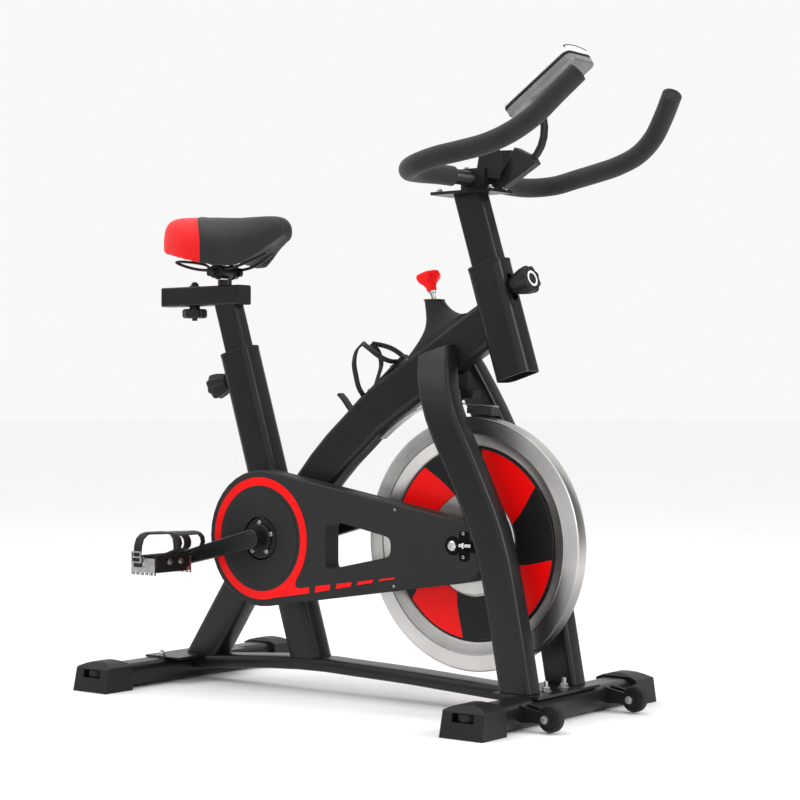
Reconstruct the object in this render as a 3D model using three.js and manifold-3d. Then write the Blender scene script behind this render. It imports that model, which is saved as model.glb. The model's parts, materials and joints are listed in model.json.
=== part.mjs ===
// Exercise bike for indoor cycling: frame, flywheel drive, brake, saddle, handlebar and console.
// Millimetres. +X is forward, +Y is the rider's left, +Z is up. The origin is on the floor, in the middle.
import * as THREE from 'three';
import { mergeVertices } from 'three/addons/utils/BufferGeometryUtils.js';
import Module from 'manifold-3d';

const wasm = await Module();
wasm.setup();

// ---------------------------------------------------------------- driving dimensions
const GAP = 0.3;                                    // gap between touching pieces
const LEAN = THREE.MathUtils.degToRad(17.3);        // both posts lean back by this much
const CRANK_CENTRE = { x: -225, z: 271 };
const WHEEL_CENTRE = { x: 198, z: 277 };

const FLYWHEEL = {
  radius: 212.5, band: 185, well: 166, rimHalf: 13, edge: 3,
  webHalf: 5, boss: 86, bossHalf: 9,
  hub: 22, hubHalf: 50, neck: 16, neckEnd: 41, bore: 6.6,
};
const INSERT = { inner: 88, outer: 161, thick: 2 };
const AXLE = { radius: 6, half: 69, nut: 9.5, spacer: 9 };
const SPROCKET = { y: -43, radius: 32, teeth: 18, depth: 4, thick: 3 };
const CHAINRING = { y: -43, radius: 94, teeth: 48, depth: 5, thick: 3 };
const CHAIN = { width: 7, thick: 6, clearance: 1 };

const CRANK = {
  length: 166, angle: THREE.MathUtils.degToRad(194.2),
  y0: 74, y1: 90, axle: 8.5, axleHalf: 88, root: 17, tip: 12.5,
};
const SPIDER = { radius: 36, y0: 45.5, y1: 61.5 };
const PEDAL = {
  y0: 101, y1: 195, rear: 27, front: 31, wall: 4, low: -19, high: 6,
  half: 12, bar: 8, spindle: 6, toothHeight: 5, pitch: 11,
};
const CLIP = { reach: 74, rise: 51, thick: 3, y0: 112, y1: 180 };
const STRAP = { width: 18, thick: 2.5, rise: 48, x: -8 };

const RAIL = { width: 56, height: 24, corner: 9 };
const STABILIZER = { width: 60, height: 42, corner: 14, half: 216, z: 23.5, frontX: 355, rearX: -452 };
const CAP = { half: 41, outer: 260, inner: 193, shoulder: 43, height: 53 };
const LEVELLER = { y: 237, radius: 17, low: 26, high: 38, foot: 10, stud: 4, bottom: 0.8 };
const TRANSPORT = {
  x: 432, y: 126, z: 24, radius: 22, half: 7,
  arm0: 9.5, arm1: 13, armEnd: 8, bolt: 4, boltHead: 7, boltHalf: 19,
};

const TUBE = { depth: 66, width: 49, corner: 13, wall: 2 };          // seat tube and head tube
const HEAD = { x: 248, z: 675, foot: 555, top: 738 };
const SEAT_TOP = 602;
const SLEEVE = { lip: 5, grow: 0.4, inside: 16 };
const SEAT_POST = { depth: 50, width: 30, corner: 7, bottom: 440 };
const BAR_POST = { depth: 54, width: 32, corner: 7, bottom: 600, top: 861 };
const KNOB = { radius: 24, length: 38, stem: 8, standOff: 10, pin: 5, headZ: 694, seatZ: 563, slot: 14 };

const BEAM = { height: 75, width: 42, corner: 10 };
const STRUT = { depth: 66, width: 49, corner: 13 };
const LEG = { depth: 60, width: 40, corner: 9, y: 67.5, bendFrom: 470, bendTo: 600, bendIn: 40 };
const FOOT_PLATE = { frontX0: 298, frontX1: 386, rearX0: -480, rearX1: -395, half: 92, z0: 43.5, z1: 48 };
const DROPOUT = { y0: 54, y1: 60, x0: 172, half: 24 };
const SHELL = { radius: 27, y0: -24.5, y1: 34 };

const COVER = {
  yOut: -62, ySplit: -34, yIn: -25.5, wall: 2.5,
  radius: 121, tipX: 213, tipZ: 267, tipRadius: 51,
};
const WINDOW = {
  rear: -75, bend: -42, front: 68, corner: 12,
  rearTop: 306, frontTop: 284.5, frontLow: 252.5, rearLow: 222.5,
};

const SEAT_RAIL = { x0: -511, x1: -318, z0: 691, z1: 727, width: 36, wall: 2.5, corner: 4 };
const SLIDER = {
  x0: -475, x1: -340, clearance: 0.6, back: 30, forward: 15,
  pinX: -366, pin: 13, pinTop: 738, boltX: -442, bolt: 5, boltLow: 664, boltTop: 736,
};
const LOCK_KNOB = { radius: 23.5, lobes: 6, z0: 669, z1: 686, bevel: 1.5, collar: 10 };
const CLAMP = { x: -366, z: 752, radius: 13, half: 30 };
const SADDLE_RAIL = 3.5;

const BAR = { radius: 12.7, gripIn: 14.6, gripOut: 16.6 };
const TOP_PLATE = { x0: 128, x1: 252, half: 30, thick: 5 };
const CLAMP_BLOCK = { x0: 188, x1: 236, half: 26, top: 901 };
const CONSOLE = {
  length: 150, width: 76, thick: 27, corner: 12, bevel: 2,
  x: 352.4, z: 1018.5, tilt: THREE.MathUtils.degToRad(34.4),
};
const BUTTON = { x: -48, radius: 6.5, pocket: 7, depth: 3, rise: 2 };

const BRAKE = {
  x: 114, z: 687, rod: 4.5, above: 34, foot: 513, footRadius: 8,
  gap: 5.5, leafWidth: 15, leafThick: 2,
};
const BOOT = {
  topX: 17, topY: 13, footX: 61, footY: 19.5, footCentre: 133, footZ: 620,
  slope: 0.62, curve: 1.8,
};
const CAGE = {
  x: -28, z: 524, tilt: THREE.MathUtils.degToRad(39.7),
  radius: 36, rise: 41, rib: 3.5, width: 18,
};

// ---------------------------------------------------------------- solids and booleans
function toSolid(geometry) {
  const g = geometry.clone();
  g.deleteAttribute('normal');
  g.deleteAttribute('uv');
  const merged = mergeVertices(g, 1e-3);
  return new wasm.Manifold(new wasm.Mesh({
    numProp: 3,
    vertProperties: new Float32Array(merged.attributes.position.array),
    triVerts: new Uint32Array(merged.index.array),
  }));
}

function toGeometry(solid) {
  const mesh = solid.getMesh();
  const geometry = new THREE.BufferGeometry();
  const points = new Float32Array(mesh.numVert * 3);
  for (let i = 0; i < mesh.numVert; i++) {
    for (let k = 0; k < 3; k++) points[3 * i + k] = mesh.vertProperties[mesh.numProp * i + k];
  }
  geometry.setAttribute('position', new THREE.BufferAttribute(points, 3));
  geometry.setIndex(new THREE.BufferAttribute(new Uint32Array(mesh.triVerts), 1));
  const flat = geometry.toNonIndexed();
  flat.computeVertexNormals();
  return flat;
}

function union(...geometries) {
  return toGeometry(geometries.map(toSolid).reduce((a, b) => a.add(b)));
}

function subtract(geometry, ...tools) {
  return toGeometry(tools.map(toSolid).reduce((a, b) => a.subtract(b), toSolid(geometry)));
}

function intersect(a, b) {
  return toGeometry(toSolid(a).intersect(toSolid(b)));
}

// ---------------------------------------------------------------- shape helpers
const v2 = (x, y) => new THREE.Vector2(x, y);
const v3 = (x, y, z) => new THREE.Vector3(x, y, z);

function roundedRect(width, height, corner) {
  const shape = new THREE.Shape();
  const w = width / 2;
  const h = height / 2;
  const r = Math.min(corner, w - 0.01, h - 0.01);
  shape.moveTo(-w + r, -h);
  shape.lineTo(w - r, -h);
  shape.absarc(w - r, -h + r, r, -Math.PI / 2, 0);
  shape.lineTo(w, h - r);
  shape.absarc(w - r, h - r, r, 0, Math.PI / 2);
  shape.lineTo(-w + r, h);
  shape.absarc(-w + r, h - r, r, Math.PI / 2, Math.PI);
  shape.lineTo(-w, -h + r);
  shape.absarc(-w + r, -h + r, r, Math.PI, 1.5 * Math.PI);
  return shape;
}

function rectangle(width, height) {
  const w = width / 2;
  const h = height / 2;
  return polygon([[-w, -h], [w, -h], [w, h], [-w, h]]);
}

function circle(radius) {
  const shape = new THREE.Shape();
  shape.absarc(0, 0, radius, 0, 2 * Math.PI);
  return shape;
}

// a box between two corners
function block(x0, x1, y0, y1, z0, z1) {
  const g = new THREE.BoxGeometry(x1 - x0, y1 - y0, z1 - z0);
  return g.translate((x0 + x1) / 2, (y0 + y1) / 2, (z0 + z1) / 2);
}

// an XZ outline given depth along Y, from y0 to y1, with optional bevelled edges
function plate(shape, y0, y1, bevel = 0, curveSegments = 6) {
  const g = new THREE.ExtrudeGeometry(shape, {
    depth: y1 - y0 - 2 * bevel,
    bevelEnabled: bevel > 0,
    bevelThickness: bevel,
    bevelSize: bevel,
    bevelOffset: -bevel,
    bevelSegments: 1,
    curveSegments,
  });
  return g.rotateX(Math.PI / 2).translate(0, y1 - bevel, 0);
}

function polygon(points) {
  return new THREE.Shape(points.map(([x, z]) => v2(x, z)));
}

// a cylinder along Y
function rod(radius, x, z, y0, y1, segments = 24) {
  return new THREE.CylinderGeometry(radius, radius, y1 - y0, segments).translate(x, (y0 + y1) / 2, z);
}

// a section carried along a path in the XZ plane; section X is across the bike, section Y is in the plane
function sweep(section, points, steps, curveSegments = 1) {
  const curve = points.length === 2 ? new THREE.LineCurve3(...points) : new THREE.CatmullRomCurve3(points);
  return new THREE.ExtrudeGeometry(section, { extrudePath: curve, steps, curveSegments });
}

// a turned profile about Z, from [radius, z] pairs that start and end on the axis
function turned(profile, segments = 28) {
  return latheY(profile, segments).rotateX(Math.PI / 2);
}

// a cylinder about Z
function upright(radius, z0, z1, segments) {
  return turned([[0, z0], [radius, z0], [radius, z1], [0, z1]], segments);
}

// a turned profile about Y, from [radius, y] pairs
function latheY(profile, segments = 28) {
  return new THREE.LatheGeometry(profile.map(([r, y]) => v2(r, y)), segments);
}

const materials = {};
function material(name, color, roughness, metalness) {
  materials[name] = { color, roughness, metalness };
}
material('frame', 0x2a2a2b, 0.5, 0.3);
material('plastic', 0x1e1e1f, 0.6, 0);
material('red', 0xe8161a, 0.45, 0);
material('steel', 0xb9b9b9, 0.3, 0.9);
material('chrome', 0xd8d8d8, 0.15, 1);
material('foam', 0x1b1b1c, 0.9, 0);
material('leather', 0x262627, 0.6, 0);
material('silver', 0xc4c6c8, 0.4, 0.2);
material('rubber', 0x141414, 0.85, 0);
material('felt', 0x3a3835, 0.95, 0);

const bike = new THREE.Group();
function addMesh(name, geometry, materialName, parent = bike) {
  const mesh = new THREE.Mesh(geometry, new THREE.MeshStandardMaterial(materials[materialName]));
  mesh.name = name;
  parent.add(mesh);
  return mesh;
}

const SIDES = [['right', -1], ['left', 1]];

// two distances from the middle plane, on one side of it, smaller coordinate first
const onSide = (side, a, b) => [side * a, side * b].sort((p, q) => p - q);

// ---------------------------------------------------------------- axes and paths
const leanX = (axis, z) => axis.x - (z - axis.z) * Math.tan(LEAN);
const headAxis = { x: HEAD.x, z: HEAD.z };
const seatAxis = CRANK_CENTRE;
const pathXZ = (points) => points.map(([x, z]) => v3(x, 0, z));

const beamPath = pathXZ([[-216, 285], [-158, 352], [-99, 417], [-54, 456], [-6, 498], [80, 552],
  [147, 594], [240, 648]]);
const railPath = pathXZ([[-421, 33], [-340, 39], [-271, 44.5], [-190, 49], [-125, 50.5], [-60, 48.5],
  [65, 45], [225, 37], [324.5, 32]]);
const legPath = pathXZ([[143, 600], [162, 545], [176, 511], [196, 468], [240, 384], [284, 286],
  [313, 163], [325, 99], [336, 40]]);
const leafPath = pathXZ([[4, 450], [36, 474], [87, 502.5], [130, 509.5], [173, 511], [242, 506]]);

// half of the handlebar, from the clamp outwards to the rider's left and forward
const barHalf = [[213, 0, 883], [198, 42, 884], [183, 85, 882], [178, 130, 880], [192, 174, 882],
  [225, 202, 889], [269, 206, 899], [314, 200, 906], [357, 194, 914], [400, 189, 929],
  [436, 178, 953], [465, 163, 985], [491, 145, 1016]];

const brakeDown = v3(Math.sin(LEAN), 0, -Math.cos(LEAN));

// ---------------------------------------------------------------- shared frame solids
// a section `across` wide and `deep` high, grown on every side by `grow`
function grown(across, deep, corner, grow) {
  return roundedRect(across + 2 * grow, deep + 2 * grow, corner + grow);
}

function leaningTube(axis, low, high, section, grow = 0) {
  const at = (z) => v3(leanX(axis, z), 0, z);
  return sweep(grown(section.width, section.depth, section.corner, grow), [at(low), at(high)], 1, 2);
}

const headTube = (grow) => leaningTube(headAxis, HEAD.foot - grow, HEAD.top + grow, TUBE, grow);
const seatTube = (grow) => leaningTube(seatAxis, CRANK_CENTRE.z, SEAT_TOP + grow, TUBE, grow);
const mainBeam = (grow) => sweep(grown(BEAM.width, BEAM.height, BEAM.corner, grow), beamPath, 12);
const baseRail = (grow) => sweep(grown(RAIL.width, RAIL.height, RAIL.corner, grow), railPath, 12);

function shell(grow) {
  return rod(SHELL.radius + grow, CRANK_CENTRE.x, CRANK_CENTRE.z, SHELL.y0 - grow, SHELL.y1 + grow);
}

function rearStrut(grow) {
  return sweep(grown(STRUT.width, STRUT.depth, STRUT.corner, grow), pathXZ([[-232, 305], [-418, 32]]), 1);
}

function frontStrut() {
  const at = (z) => v3(leanX(seatAxis, z), 0, z);
  return sweep(roundedRect(STRUT.width, STRUT.depth, STRUT.corner), [at(CRANK_CENTRE.z), at(30)], 1);
}

// keeps the biggest body when a cut leaves a scrap behind
function largest(geometry) {
  const bodies = toSolid(geometry).decompose();
  return toGeometry(bodies.reduce((a, b) => (a.volume() > b.volume() ? a : b)));
}

// a direction square to the leaning posts, forward and up
const square = v3(Math.cos(LEAN), 0, Math.sin(LEAN));
const headKnobAt = { x: leanX(headAxis, KNOB.headZ), z: KNOB.headZ };
const seatKnobAt = { x: leanX(seatAxis, KNOB.seatZ), z: KNOB.seatZ };

// a cylinder from a point in the XZ plane along a direction in that plane
function drill(at, direction, from, to, radius, segments = 20) {
  const g = new THREE.CylinderGeometry(radius, radius, to - from, segments);
  g.translate(0, (from + to) / 2, 0);
  g.applyQuaternion(new THREE.Quaternion().setFromUnitVectors(v3(0, 1, 0), direction));
  return g.translate(at.x, 0, at.z);
}

function buildFrameTubes() {
  const headBore = leaningTube(headAxis, HEAD.foot - 20, HEAD.top + 20, TUBE, -TUBE.wall);
  const slot = [-KNOB.slot, 0, KNOB.slot].map((s) => {
    const at = { x: leanX(headAxis, headKnobAt.z + s), z: headKnobAt.z + s };
    return drill(at, square, 10, 60, KNOB.stem + 1);
  });
  addMesh('head_tube', subtract(headTube(0), headBore, ...slot), 'frame');

  const seatBore = leaningTube(seatAxis, CRANK_CENTRE.z + 90, SEAT_TOP + 20, TUBE, -TUBE.wall);
  const axleBore = rod(CRANK.axle + 1, CRANK_CENTRE.x, CRANK_CENTRE.z, -60, 60);
  const pinHole = drill(seatKnobAt, square.clone().negate(), 10, 60, KNOB.stem + 1);
  addMesh('seat_tube', subtract(union(seatTube(0), shell(0)), seatBore, axleBore, pinHole), 'frame');

  const rodHole = drill({ x: BRAKE.x, z: BRAKE.z }, brakeDown, -40, 200, BRAKE.rod + 2);
  const beamCuts = [headTube(GAP), seatTube(GAP), shell(GAP), rodHole];
  addMesh('main_beam', largest(subtract(mainBeam(0), ...beamCuts)), 'frame');

  const rearPlateSpace = block(-500, FOOT_PLATE.rearX1 + GAP, -30, 30, FOOT_PLATE.z0 - GAP, 80);
  const frontPlateSpace = block(FOOT_PLATE.frontX0 - GAP, 400, -30, 30, FOOT_PLATE.z0 - GAP, 80);
  addMesh('base_rail', subtract(baseRail(0), rearPlateSpace, frontPlateSpace), 'frame');

  const underRear = block(-560, FOOT_PLATE.rearX1 + GAP, -60, 60, -60, FOOT_PLATE.z1 + GAP);
  const rearCuts = [shell(GAP), seatTube(GAP), mainBeam(GAP), baseRail(GAP), underRear];
  addMesh('rear_strut', largest(subtract(rearStrut(0), ...rearCuts)), 'frame');
  const frontCuts = [shell(GAP), seatTube(GAP), mainBeam(GAP), baseRail(GAP), rearStrut(GAP)];
  addMesh('front_strut', largest(subtract(frontStrut(), ...frontCuts)), 'frame');
}

// ---------------------------------------------------------------- fork
function bendInwards(geometry, side) {
  const p = geometry.attributes.position;
  for (let i = 0; i < p.count; i++) {
    const t = THREE.MathUtils.clamp((p.getZ(i) - LEG.bendFrom) / (LEG.bendTo - LEG.bendFrom), 0, 1.1);
    p.setY(i, p.getY(i) - side * LEG.bendIn * t * t);
  }
  return geometry;
}

function legSweep(width, depth, steps) {
  return sweep(roundedRect(width, depth, LEG.corner), legPath, steps);
}

function buildFork() {
  for (const [name, side] of SIDES) {
    const leg = bendInwards(legSweep(LEG.width, LEG.depth, 16).translate(0, side * LEG.y, 0), side);
    const dropout = block(DROPOUT.x0, WHEEL_CENTRE.x + 90, ...onSide(side, DROPOUT.y0, DROPOUT.y1),
      WHEEL_CENTRE.z - DROPOUT.half, WHEEL_CENTRE.z + DROPOUT.half);
    const hole = rod(AXLE.radius + GAP, WHEEL_CENTRE.x, WHEEL_CENTRE.z, -100, 100);
    const under = block(200, 460, -130, 130, -60, FOOT_PLATE.z1 + GAP);
    const cuts = [hole, under, mainBeam(GAP), headTube(GAP)];
    addMesh(`fork_leg_${name}`, largest(subtract(union(leg, dropout), ...cuts)), 'frame');
  }
}

// ---------------------------------------------------------------- feet and transport wheels
function stabilizer(x, grow = 0) {
  const shape = grown(STABILIZER.width, STABILIZER.height, STABILIZER.corner, grow);
  const half = STABILIZER.half + grow;
  return plate(shape, -half, half, 0, 2).translate(x, 0, STABILIZER.z);
}

// a YZ outline given depth along X
function alongX(shape, x0, x1, curveSegments = 2) {
  const g = new THREE.ExtrudeGeometry(shape, { depth: x1 - x0, bevelEnabled: false, curveSegments });
  return g.rotateX(Math.PI / 2).rotateZ(Math.PI / 2).translate(x0, 0, 0);
}

function buildCap(side, x) {
  const front = new THREE.Shape();
  front.moveTo(-CAP.half, 0);
  front.lineTo(CAP.half, 0);
  front.lineTo(CAP.half - 1.5, CAP.shoulder);
  front.quadraticCurveTo(CAP.half / 2, CAP.height, 0, CAP.height);
  front.quadraticCurveTo(-CAP.half / 2, CAP.height, -CAP.half + 1.5, CAP.shoulder);
  const mass = plate(front, ...onSide(side, CAP.inner, CAP.outer), 0, 3).translate(x, 0, 0);

  const profile = polygon([[CAP.inner - 1, -1], [CAP.outer, -1], [CAP.outer - 8, CAP.shoulder - 2],
    [CAP.outer - 22, CAP.height - 2], [CAP.outer - 30, CAP.height + 1], [CAP.inner + 12, CAP.height + 1],
    [CAP.inner - 1, CAP.height - 6]].map(([a, b]) => [side * a, b]));
  const envelope = alongX(profile, x - CAP.half - 5, x + CAP.half + 5);
  const slotY = onSide(side, LEVELLER.y, CAP.outer + 5);
  const slot = block(x - CAP.half / 2, x + CAP.half / 2, ...slotY, LEVELLER.low - 1, LEVELLER.high + 1);
  const disc = upright(LEVELLER.radius + 1, LEVELLER.low - 1, LEVELLER.high + 1, 16);
  const well = upright(LEVELLER.foot + 2, -3, LEVELLER.low, 12);
  disc.translate(x, side * LEVELLER.y, 0);
  well.translate(x, side * LEVELLER.y, 0);
  return subtract(intersect(mass, envelope), stabilizer(x, GAP), slot, disc, well);
}

function buildFeet() {
  const leveller = turned([[0, LEVELLER.bottom], [LEVELLER.foot, LEVELLER.bottom], [LEVELLER.foot, 5],
    [LEVELLER.stud, 5], [LEVELLER.stud, LEVELLER.low], [LEVELLER.radius, LEVELLER.low],
    [LEVELLER.radius, LEVELLER.high], [0, LEVELLER.high]], 14);
  for (const [end, x] of [['front', STABILIZER.frontX], ['rear', STABILIZER.rearX]]) {
    for (const [name, side] of SIDES) {
      addMesh(`end_cap_${end}_${name}`, buildCap(side, x), 'plastic');
      const screw = addMesh(`levelling_wheel_${end}_${name}`, leveller, 'rubber');
      screw.position.set(x, side * LEVELLER.y, 0);
    }
  }
}

function transportArm(y0, y1) {
  const arm = new THREE.Shape();
  const { x, z } = TRANSPORT;
  arm.moveTo(STABILIZER.frontX + 20, 14);
  arm.lineTo(x - 2, z - TRANSPORT.armEnd);
  arm.absarc(x, z, TRANSPORT.armEnd, -Math.PI / 2, Math.PI / 2);
  arm.lineTo(STABILIZER.frontX + 20, 42);
  return plate(arm, y0, y1, 0, 3);
}

// the wheel's pin, with a bolt head outside each arm
function transportPin(y) {
  const { x, z, bolt, boltHead, boltHalf, arm0 } = TRANSPORT;
  const head = (side) => rod(boltHead, x, z, ...onSide(side, arm0, boltHalf), 12).translate(0, y, 0);
  return union(rod(bolt, x, z, y - boltHalf, y + boltHalf, 16), head(-1), head(1));
}

function buildStabilizers() {
  const arms = [];
  for (const [, side] of SIDES) {
    for (const inner of [-1, 1]) {
      const arm = transportArm(...onSide(inner, TRANSPORT.arm0, TRANSPORT.arm1));
      arms.push(arm.translate(0, side * TRANSPORT.y, 0));
    }
  }
  const footPlate = (x0, x1, half) => block(x0, x1, -half, half, FOOT_PLATE.z0, FOOT_PLATE.z1);
  const pins = SIDES.map(([, side]) => transportPin(side * TRANSPORT.y));
  const frontPlate = footPlate(FOOT_PLATE.frontX0, FOOT_PLATE.frontX1, FOOT_PLATE.half);
  addMesh('front_stabilizer', union(stabilizer(STABILIZER.frontX), frontPlate, ...arms, ...pins), 'frame');
  const rearPlate = footPlate(FOOT_PLATE.rearX0, FOOT_PLATE.rearX1, FOOT_PLATE.half);
  addMesh('rear_stabilizer', union(stabilizer(STABILIZER.rearX), rearPlate), 'frame');

  for (const [name, side] of SIDES) {
    const { x, y, z, radius, half, bolt } = TRANSPORT;
    const tread = latheY([[bolt + GAP, -half], [radius - 4, -half], [radius, -half + 3], [radius, half - 3],
      [radius - 4, half], [bolt + GAP, half], [bolt + GAP, -half]], 20);
    addMesh(`transport_wheel_${name}`, tread, 'rubber').position.set(x, side * y, z);
  }
}

// ---------------------------------------------------------------- flywheel
function toothed(radius, teeth, depth, boreRadius) {
  const shape = new THREE.Shape();
  for (let i = 0; i < teeth * 2; i++) {
    const r = i % 2 ? radius - depth : radius;
    const a = (i * Math.PI) / teeth;
    const at = [r * Math.cos(a), r * Math.sin(a)];
    if (i) shape.lineTo(...at);
    else shape.moveTo(...at);
  }
  const bore = new THREE.Path();
  bore.absarc(0, 0, boreRadius, 0, 2 * Math.PI, true);
  shape.holes.push(bore);
  return shape;
}

// the flywheel's section on one side of its web, from the hub out to the rim's edge
function wheelSide(side, hubEnd) {
  const f = FLYWHEEL;
  return [...hubEnd, [f.hub, f.bossHalf], [f.boss, f.bossHalf], [f.boss, f.webHalf],
    [f.well - f.edge, f.webHalf], [f.well, f.webHalf + f.edge], [f.band, f.rimHalf],
    [f.radius - f.edge, f.rimHalf], [f.radius, f.rimHalf - f.edge]].map(([r, y]) => [r, side * y]);
}

function buildFlywheel() {
  const f = FLYWHEEL;
  const w = WHEEL_CENTRE;
  const sprocketEnd = [[f.bore, f.hubHalf], [f.neck, f.hubHalf], [f.neck, f.neckEnd], [f.hub, f.neckEnd]];
  const plainEnd = [[f.bore, f.hubHalf], [f.hub, f.hubHalf]];
  const profile = [...wheelSide(-1, sprocketEnd), ...wheelSide(1, plainEnd).reverse(), [f.bore, -f.hubHalf]];
  addMesh('flywheel', latheY(profile, 40), 'steel').position.set(w.x, 0, w.z);

  for (const [name, side] of SIDES) {
    const [y0, y1] = onSide(side, f.webHalf + GAP, f.webHalf + GAP + INSERT.thick);
    const { inner, outer } = INSERT;
    const ring = latheY([[inner, y0], [outer, y0], [outer, y1], [inner, y1], [inner, y0]], 32);
    addMesh(`disc_insert_${name}`, ring, 'red').position.set(w.x, 0, w.z);
  }

  const half = SPROCKET.thick / 2;
  const teeth = toothed(SPROCKET.radius, SPROCKET.teeth, SPROCKET.depth, f.neck + 1);
  const cog = plate(teeth, SPROCKET.y - half, SPROCKET.y + half);
  addMesh('flywheel_sprocket', cog, 'steel').position.set(w.x, 0, w.z);

  const nut = (side) => rod(AXLE.nut, 0, 0, ...onSide(side, DROPOUT.y1 + GAP, AXLE.half - 1), 6);
  const spacer = (side) => rod(AXLE.spacer, 0, 0, ...onSide(side, f.hubHalf + GAP, DROPOUT.y0 - GAP), 12);
  const shaft = rod(AXLE.radius, 0, 0, -AXLE.half, AXLE.half, 12);
  const axle = union(shaft, nut(-1), nut(1), spacer(-1), spacer(1));
  addMesh('flywheel_axle', axle, 'chrome').position.set(w.x, 0, w.z);
}

// ---------------------------------------------------------------- drive and cover
// the outline around two round ends
function racetrack(x1, z1, r1, x2, z2, r2) {
  const shape = new THREE.Shape();
  const reach = Math.hypot(x2 - x1, z2 - z1);
  const heading = Math.atan2(z2 - z1, x2 - x1);
  const spread = Math.acos((r1 - r2) / reach);
  shape.absarc(x1, z1, r1, heading + spread, heading - spread + 2 * Math.PI, false);
  shape.absarc(x2, z2, r2, heading - spread, heading + spread, false);
  return shape;
}

function coverOutline(inset) {
  const c = CRANK_CENTRE;
  return racetrack(c.x, c.z, COVER.radius - inset, COVER.tipX, COVER.tipZ, COVER.tipRadius - inset);
}

function windowOutline(grow) {
  const w = WINDOW;
  const corners = [[w.rear - grow, w.rearTop + grow], [w.bend, w.rearTop + grow],
    [w.front + grow, w.frontTop + grow], [w.front + grow, w.frontLow - grow],
    [w.rear - grow, w.rearLow - grow]];
  return roundedPolygon(corners, w.corner + grow);
}

function roundedPolygon(corners, radius) {
  const shape = new THREE.Shape();
  corners.forEach(([x, z], i) => {
    const here = v2(x, z);
    const before = v2(...corners.at(i - 1));
    const after = v2(...corners[(i + 1) % corners.length]);
    const a = here.clone().add(before.sub(here).setLength(radius));
    const b = here.clone().add(after.sub(here).setLength(radius));
    if (i) shape.lineTo(a.x, a.y);
    else shape.moveTo(a.x, a.y);
    shape.quadraticCurveTo(x, z, b.x, b.y);
  });
  shape.closePath();
  return shape;
}

function buildCover() {
  const legCut = legSweep(100, LEG.depth + 3, 8).translate(0, -LEG.y, 0);
  const window = plate(windowOutline(0), -80, 0, 0, 3);
  const boss = plate(windowOutline(COVER.wall), -80, 0, 0, 3);
  const hub = (radius, centre) => rod(radius, centre.x, centre.z, -80, 0, 24);
  const notchHalf = DROPOUT.half + 2;
  const notch = block(DROPOUT.x0 - 2, 300, -70, -50, WHEEL_CENTRE.z - notchHalf, WHEEL_CENTRE.z + notchHalf);

  const outerMass = plate(coverOutline(0), COVER.yOut, COVER.ySplit, 3, 10);
  const outerHollow = subtract(plate(coverOutline(COVER.wall), COVER.yOut + COVER.wall, 0, 0, 10), boss);
  const outerCuts = [outerHollow, window, hub(SPIDER.radius + 3, CRANK_CENTRE), notch, legCut];
  addMesh('chain_cover_outer', largest(subtract(outerMass, ...outerCuts)), 'plastic');

  const innerMass = plate(coverOutline(0), COVER.ySplit + GAP, COVER.yIn, 1.5, 10);
  const innerHollow = subtract(plate(coverOutline(COVER.wall), -60, COVER.yIn - COVER.wall, 0, 10), boss);
  const innerCuts = [innerHollow, window, hub(20, CRANK_CENTRE), hub(30, WHEEL_CENTRE), legCut];
  addMesh('chain_cover_inner', largest(subtract(innerMass, ...innerCuts)), 'plastic');
}

function buildDrive() {
  const c = CRANK_CENTRE;
  const w = WHEEL_CENTRE;
  const half = CHAINRING.thick / 2;
  const teeth = toothed(CHAINRING.radius, CHAINRING.teeth, CHAINRING.depth, CRANK.axle + GAP);
  const ring = plate(teeth, CHAINRING.y - half, CHAINRING.y + half);
  addMesh('chainring', ring, 'steel').position.set(c.x, 0, c.z);

  const inside = CHAIN.clearance;
  const outside = CHAIN.clearance + CHAIN.thick;
  const loop = (grow) => racetrack(c.x, c.z, CHAINRING.radius + grow, w.x, w.z, SPROCKET.radius + grow);
  const [y0, y1] = [CHAINRING.y - CHAIN.width / 2, CHAINRING.y + CHAIN.width / 2];
  const links = subtract(plate(loop(outside), y0, y1, 0, 8), plate(loop(inside), y0 - 1, y1 + 1, 0, 8));
  addMesh('chain', links, 'steel');

  const spindle = rod(CRANK.axle, c.x, c.z, -CRANK.axleHalf, CRANK.axleHalf, 20);
  addMesh('crank_axle', union(spindle, rod(SPIDER.radius, c.x, c.z, -SPIDER.y1, -SPIDER.y0, 32)), 'frame');

  for (const [name, side] of SIDES) {
    const angle = CRANK.angle + (side > 0 ? Math.PI : 0);
    const end = { x: c.x + CRANK.length * Math.cos(angle), z: c.z + CRANK.length * Math.sin(angle) };
    addMesh(`crank_arm_${name}`, crankArm(side, end), 'frame');
    buildPedal(name, side, end);
  }
}

// one crank arm, with the boss on its axle and the pedal's spindle in one piece
function crankArm(side, end) {
  const c = CRANK_CENTRE;
  const bossStart = side < 0 ? SPIDER.y1 + GAP : SHELL.y1 + 6;
  const outline = racetrack(c.x, c.z, CRANK.root, end.x, end.z, CRANK.tip);
  const blade = plate(outline, ...onSide(side, CRANK.y0, CRANK.y1), 2, 4);
  const boss = rod(CRANK.root - 1, c.x, c.z, ...onSide(side, bossStart, CRANK.y0 + 2), 24);
  const spindle = rod(PEDAL.spindle, end.x, end.z, ...onSide(side, CRANK.y0 + 4, PEDAL.y1 - 12), 16);
  const bore = rod(CRANK.axle + 2 * GAP, c.x, c.z, -200, 200, 20);
  return subtract(union(blade, boss, spindle), bore);
}

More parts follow.
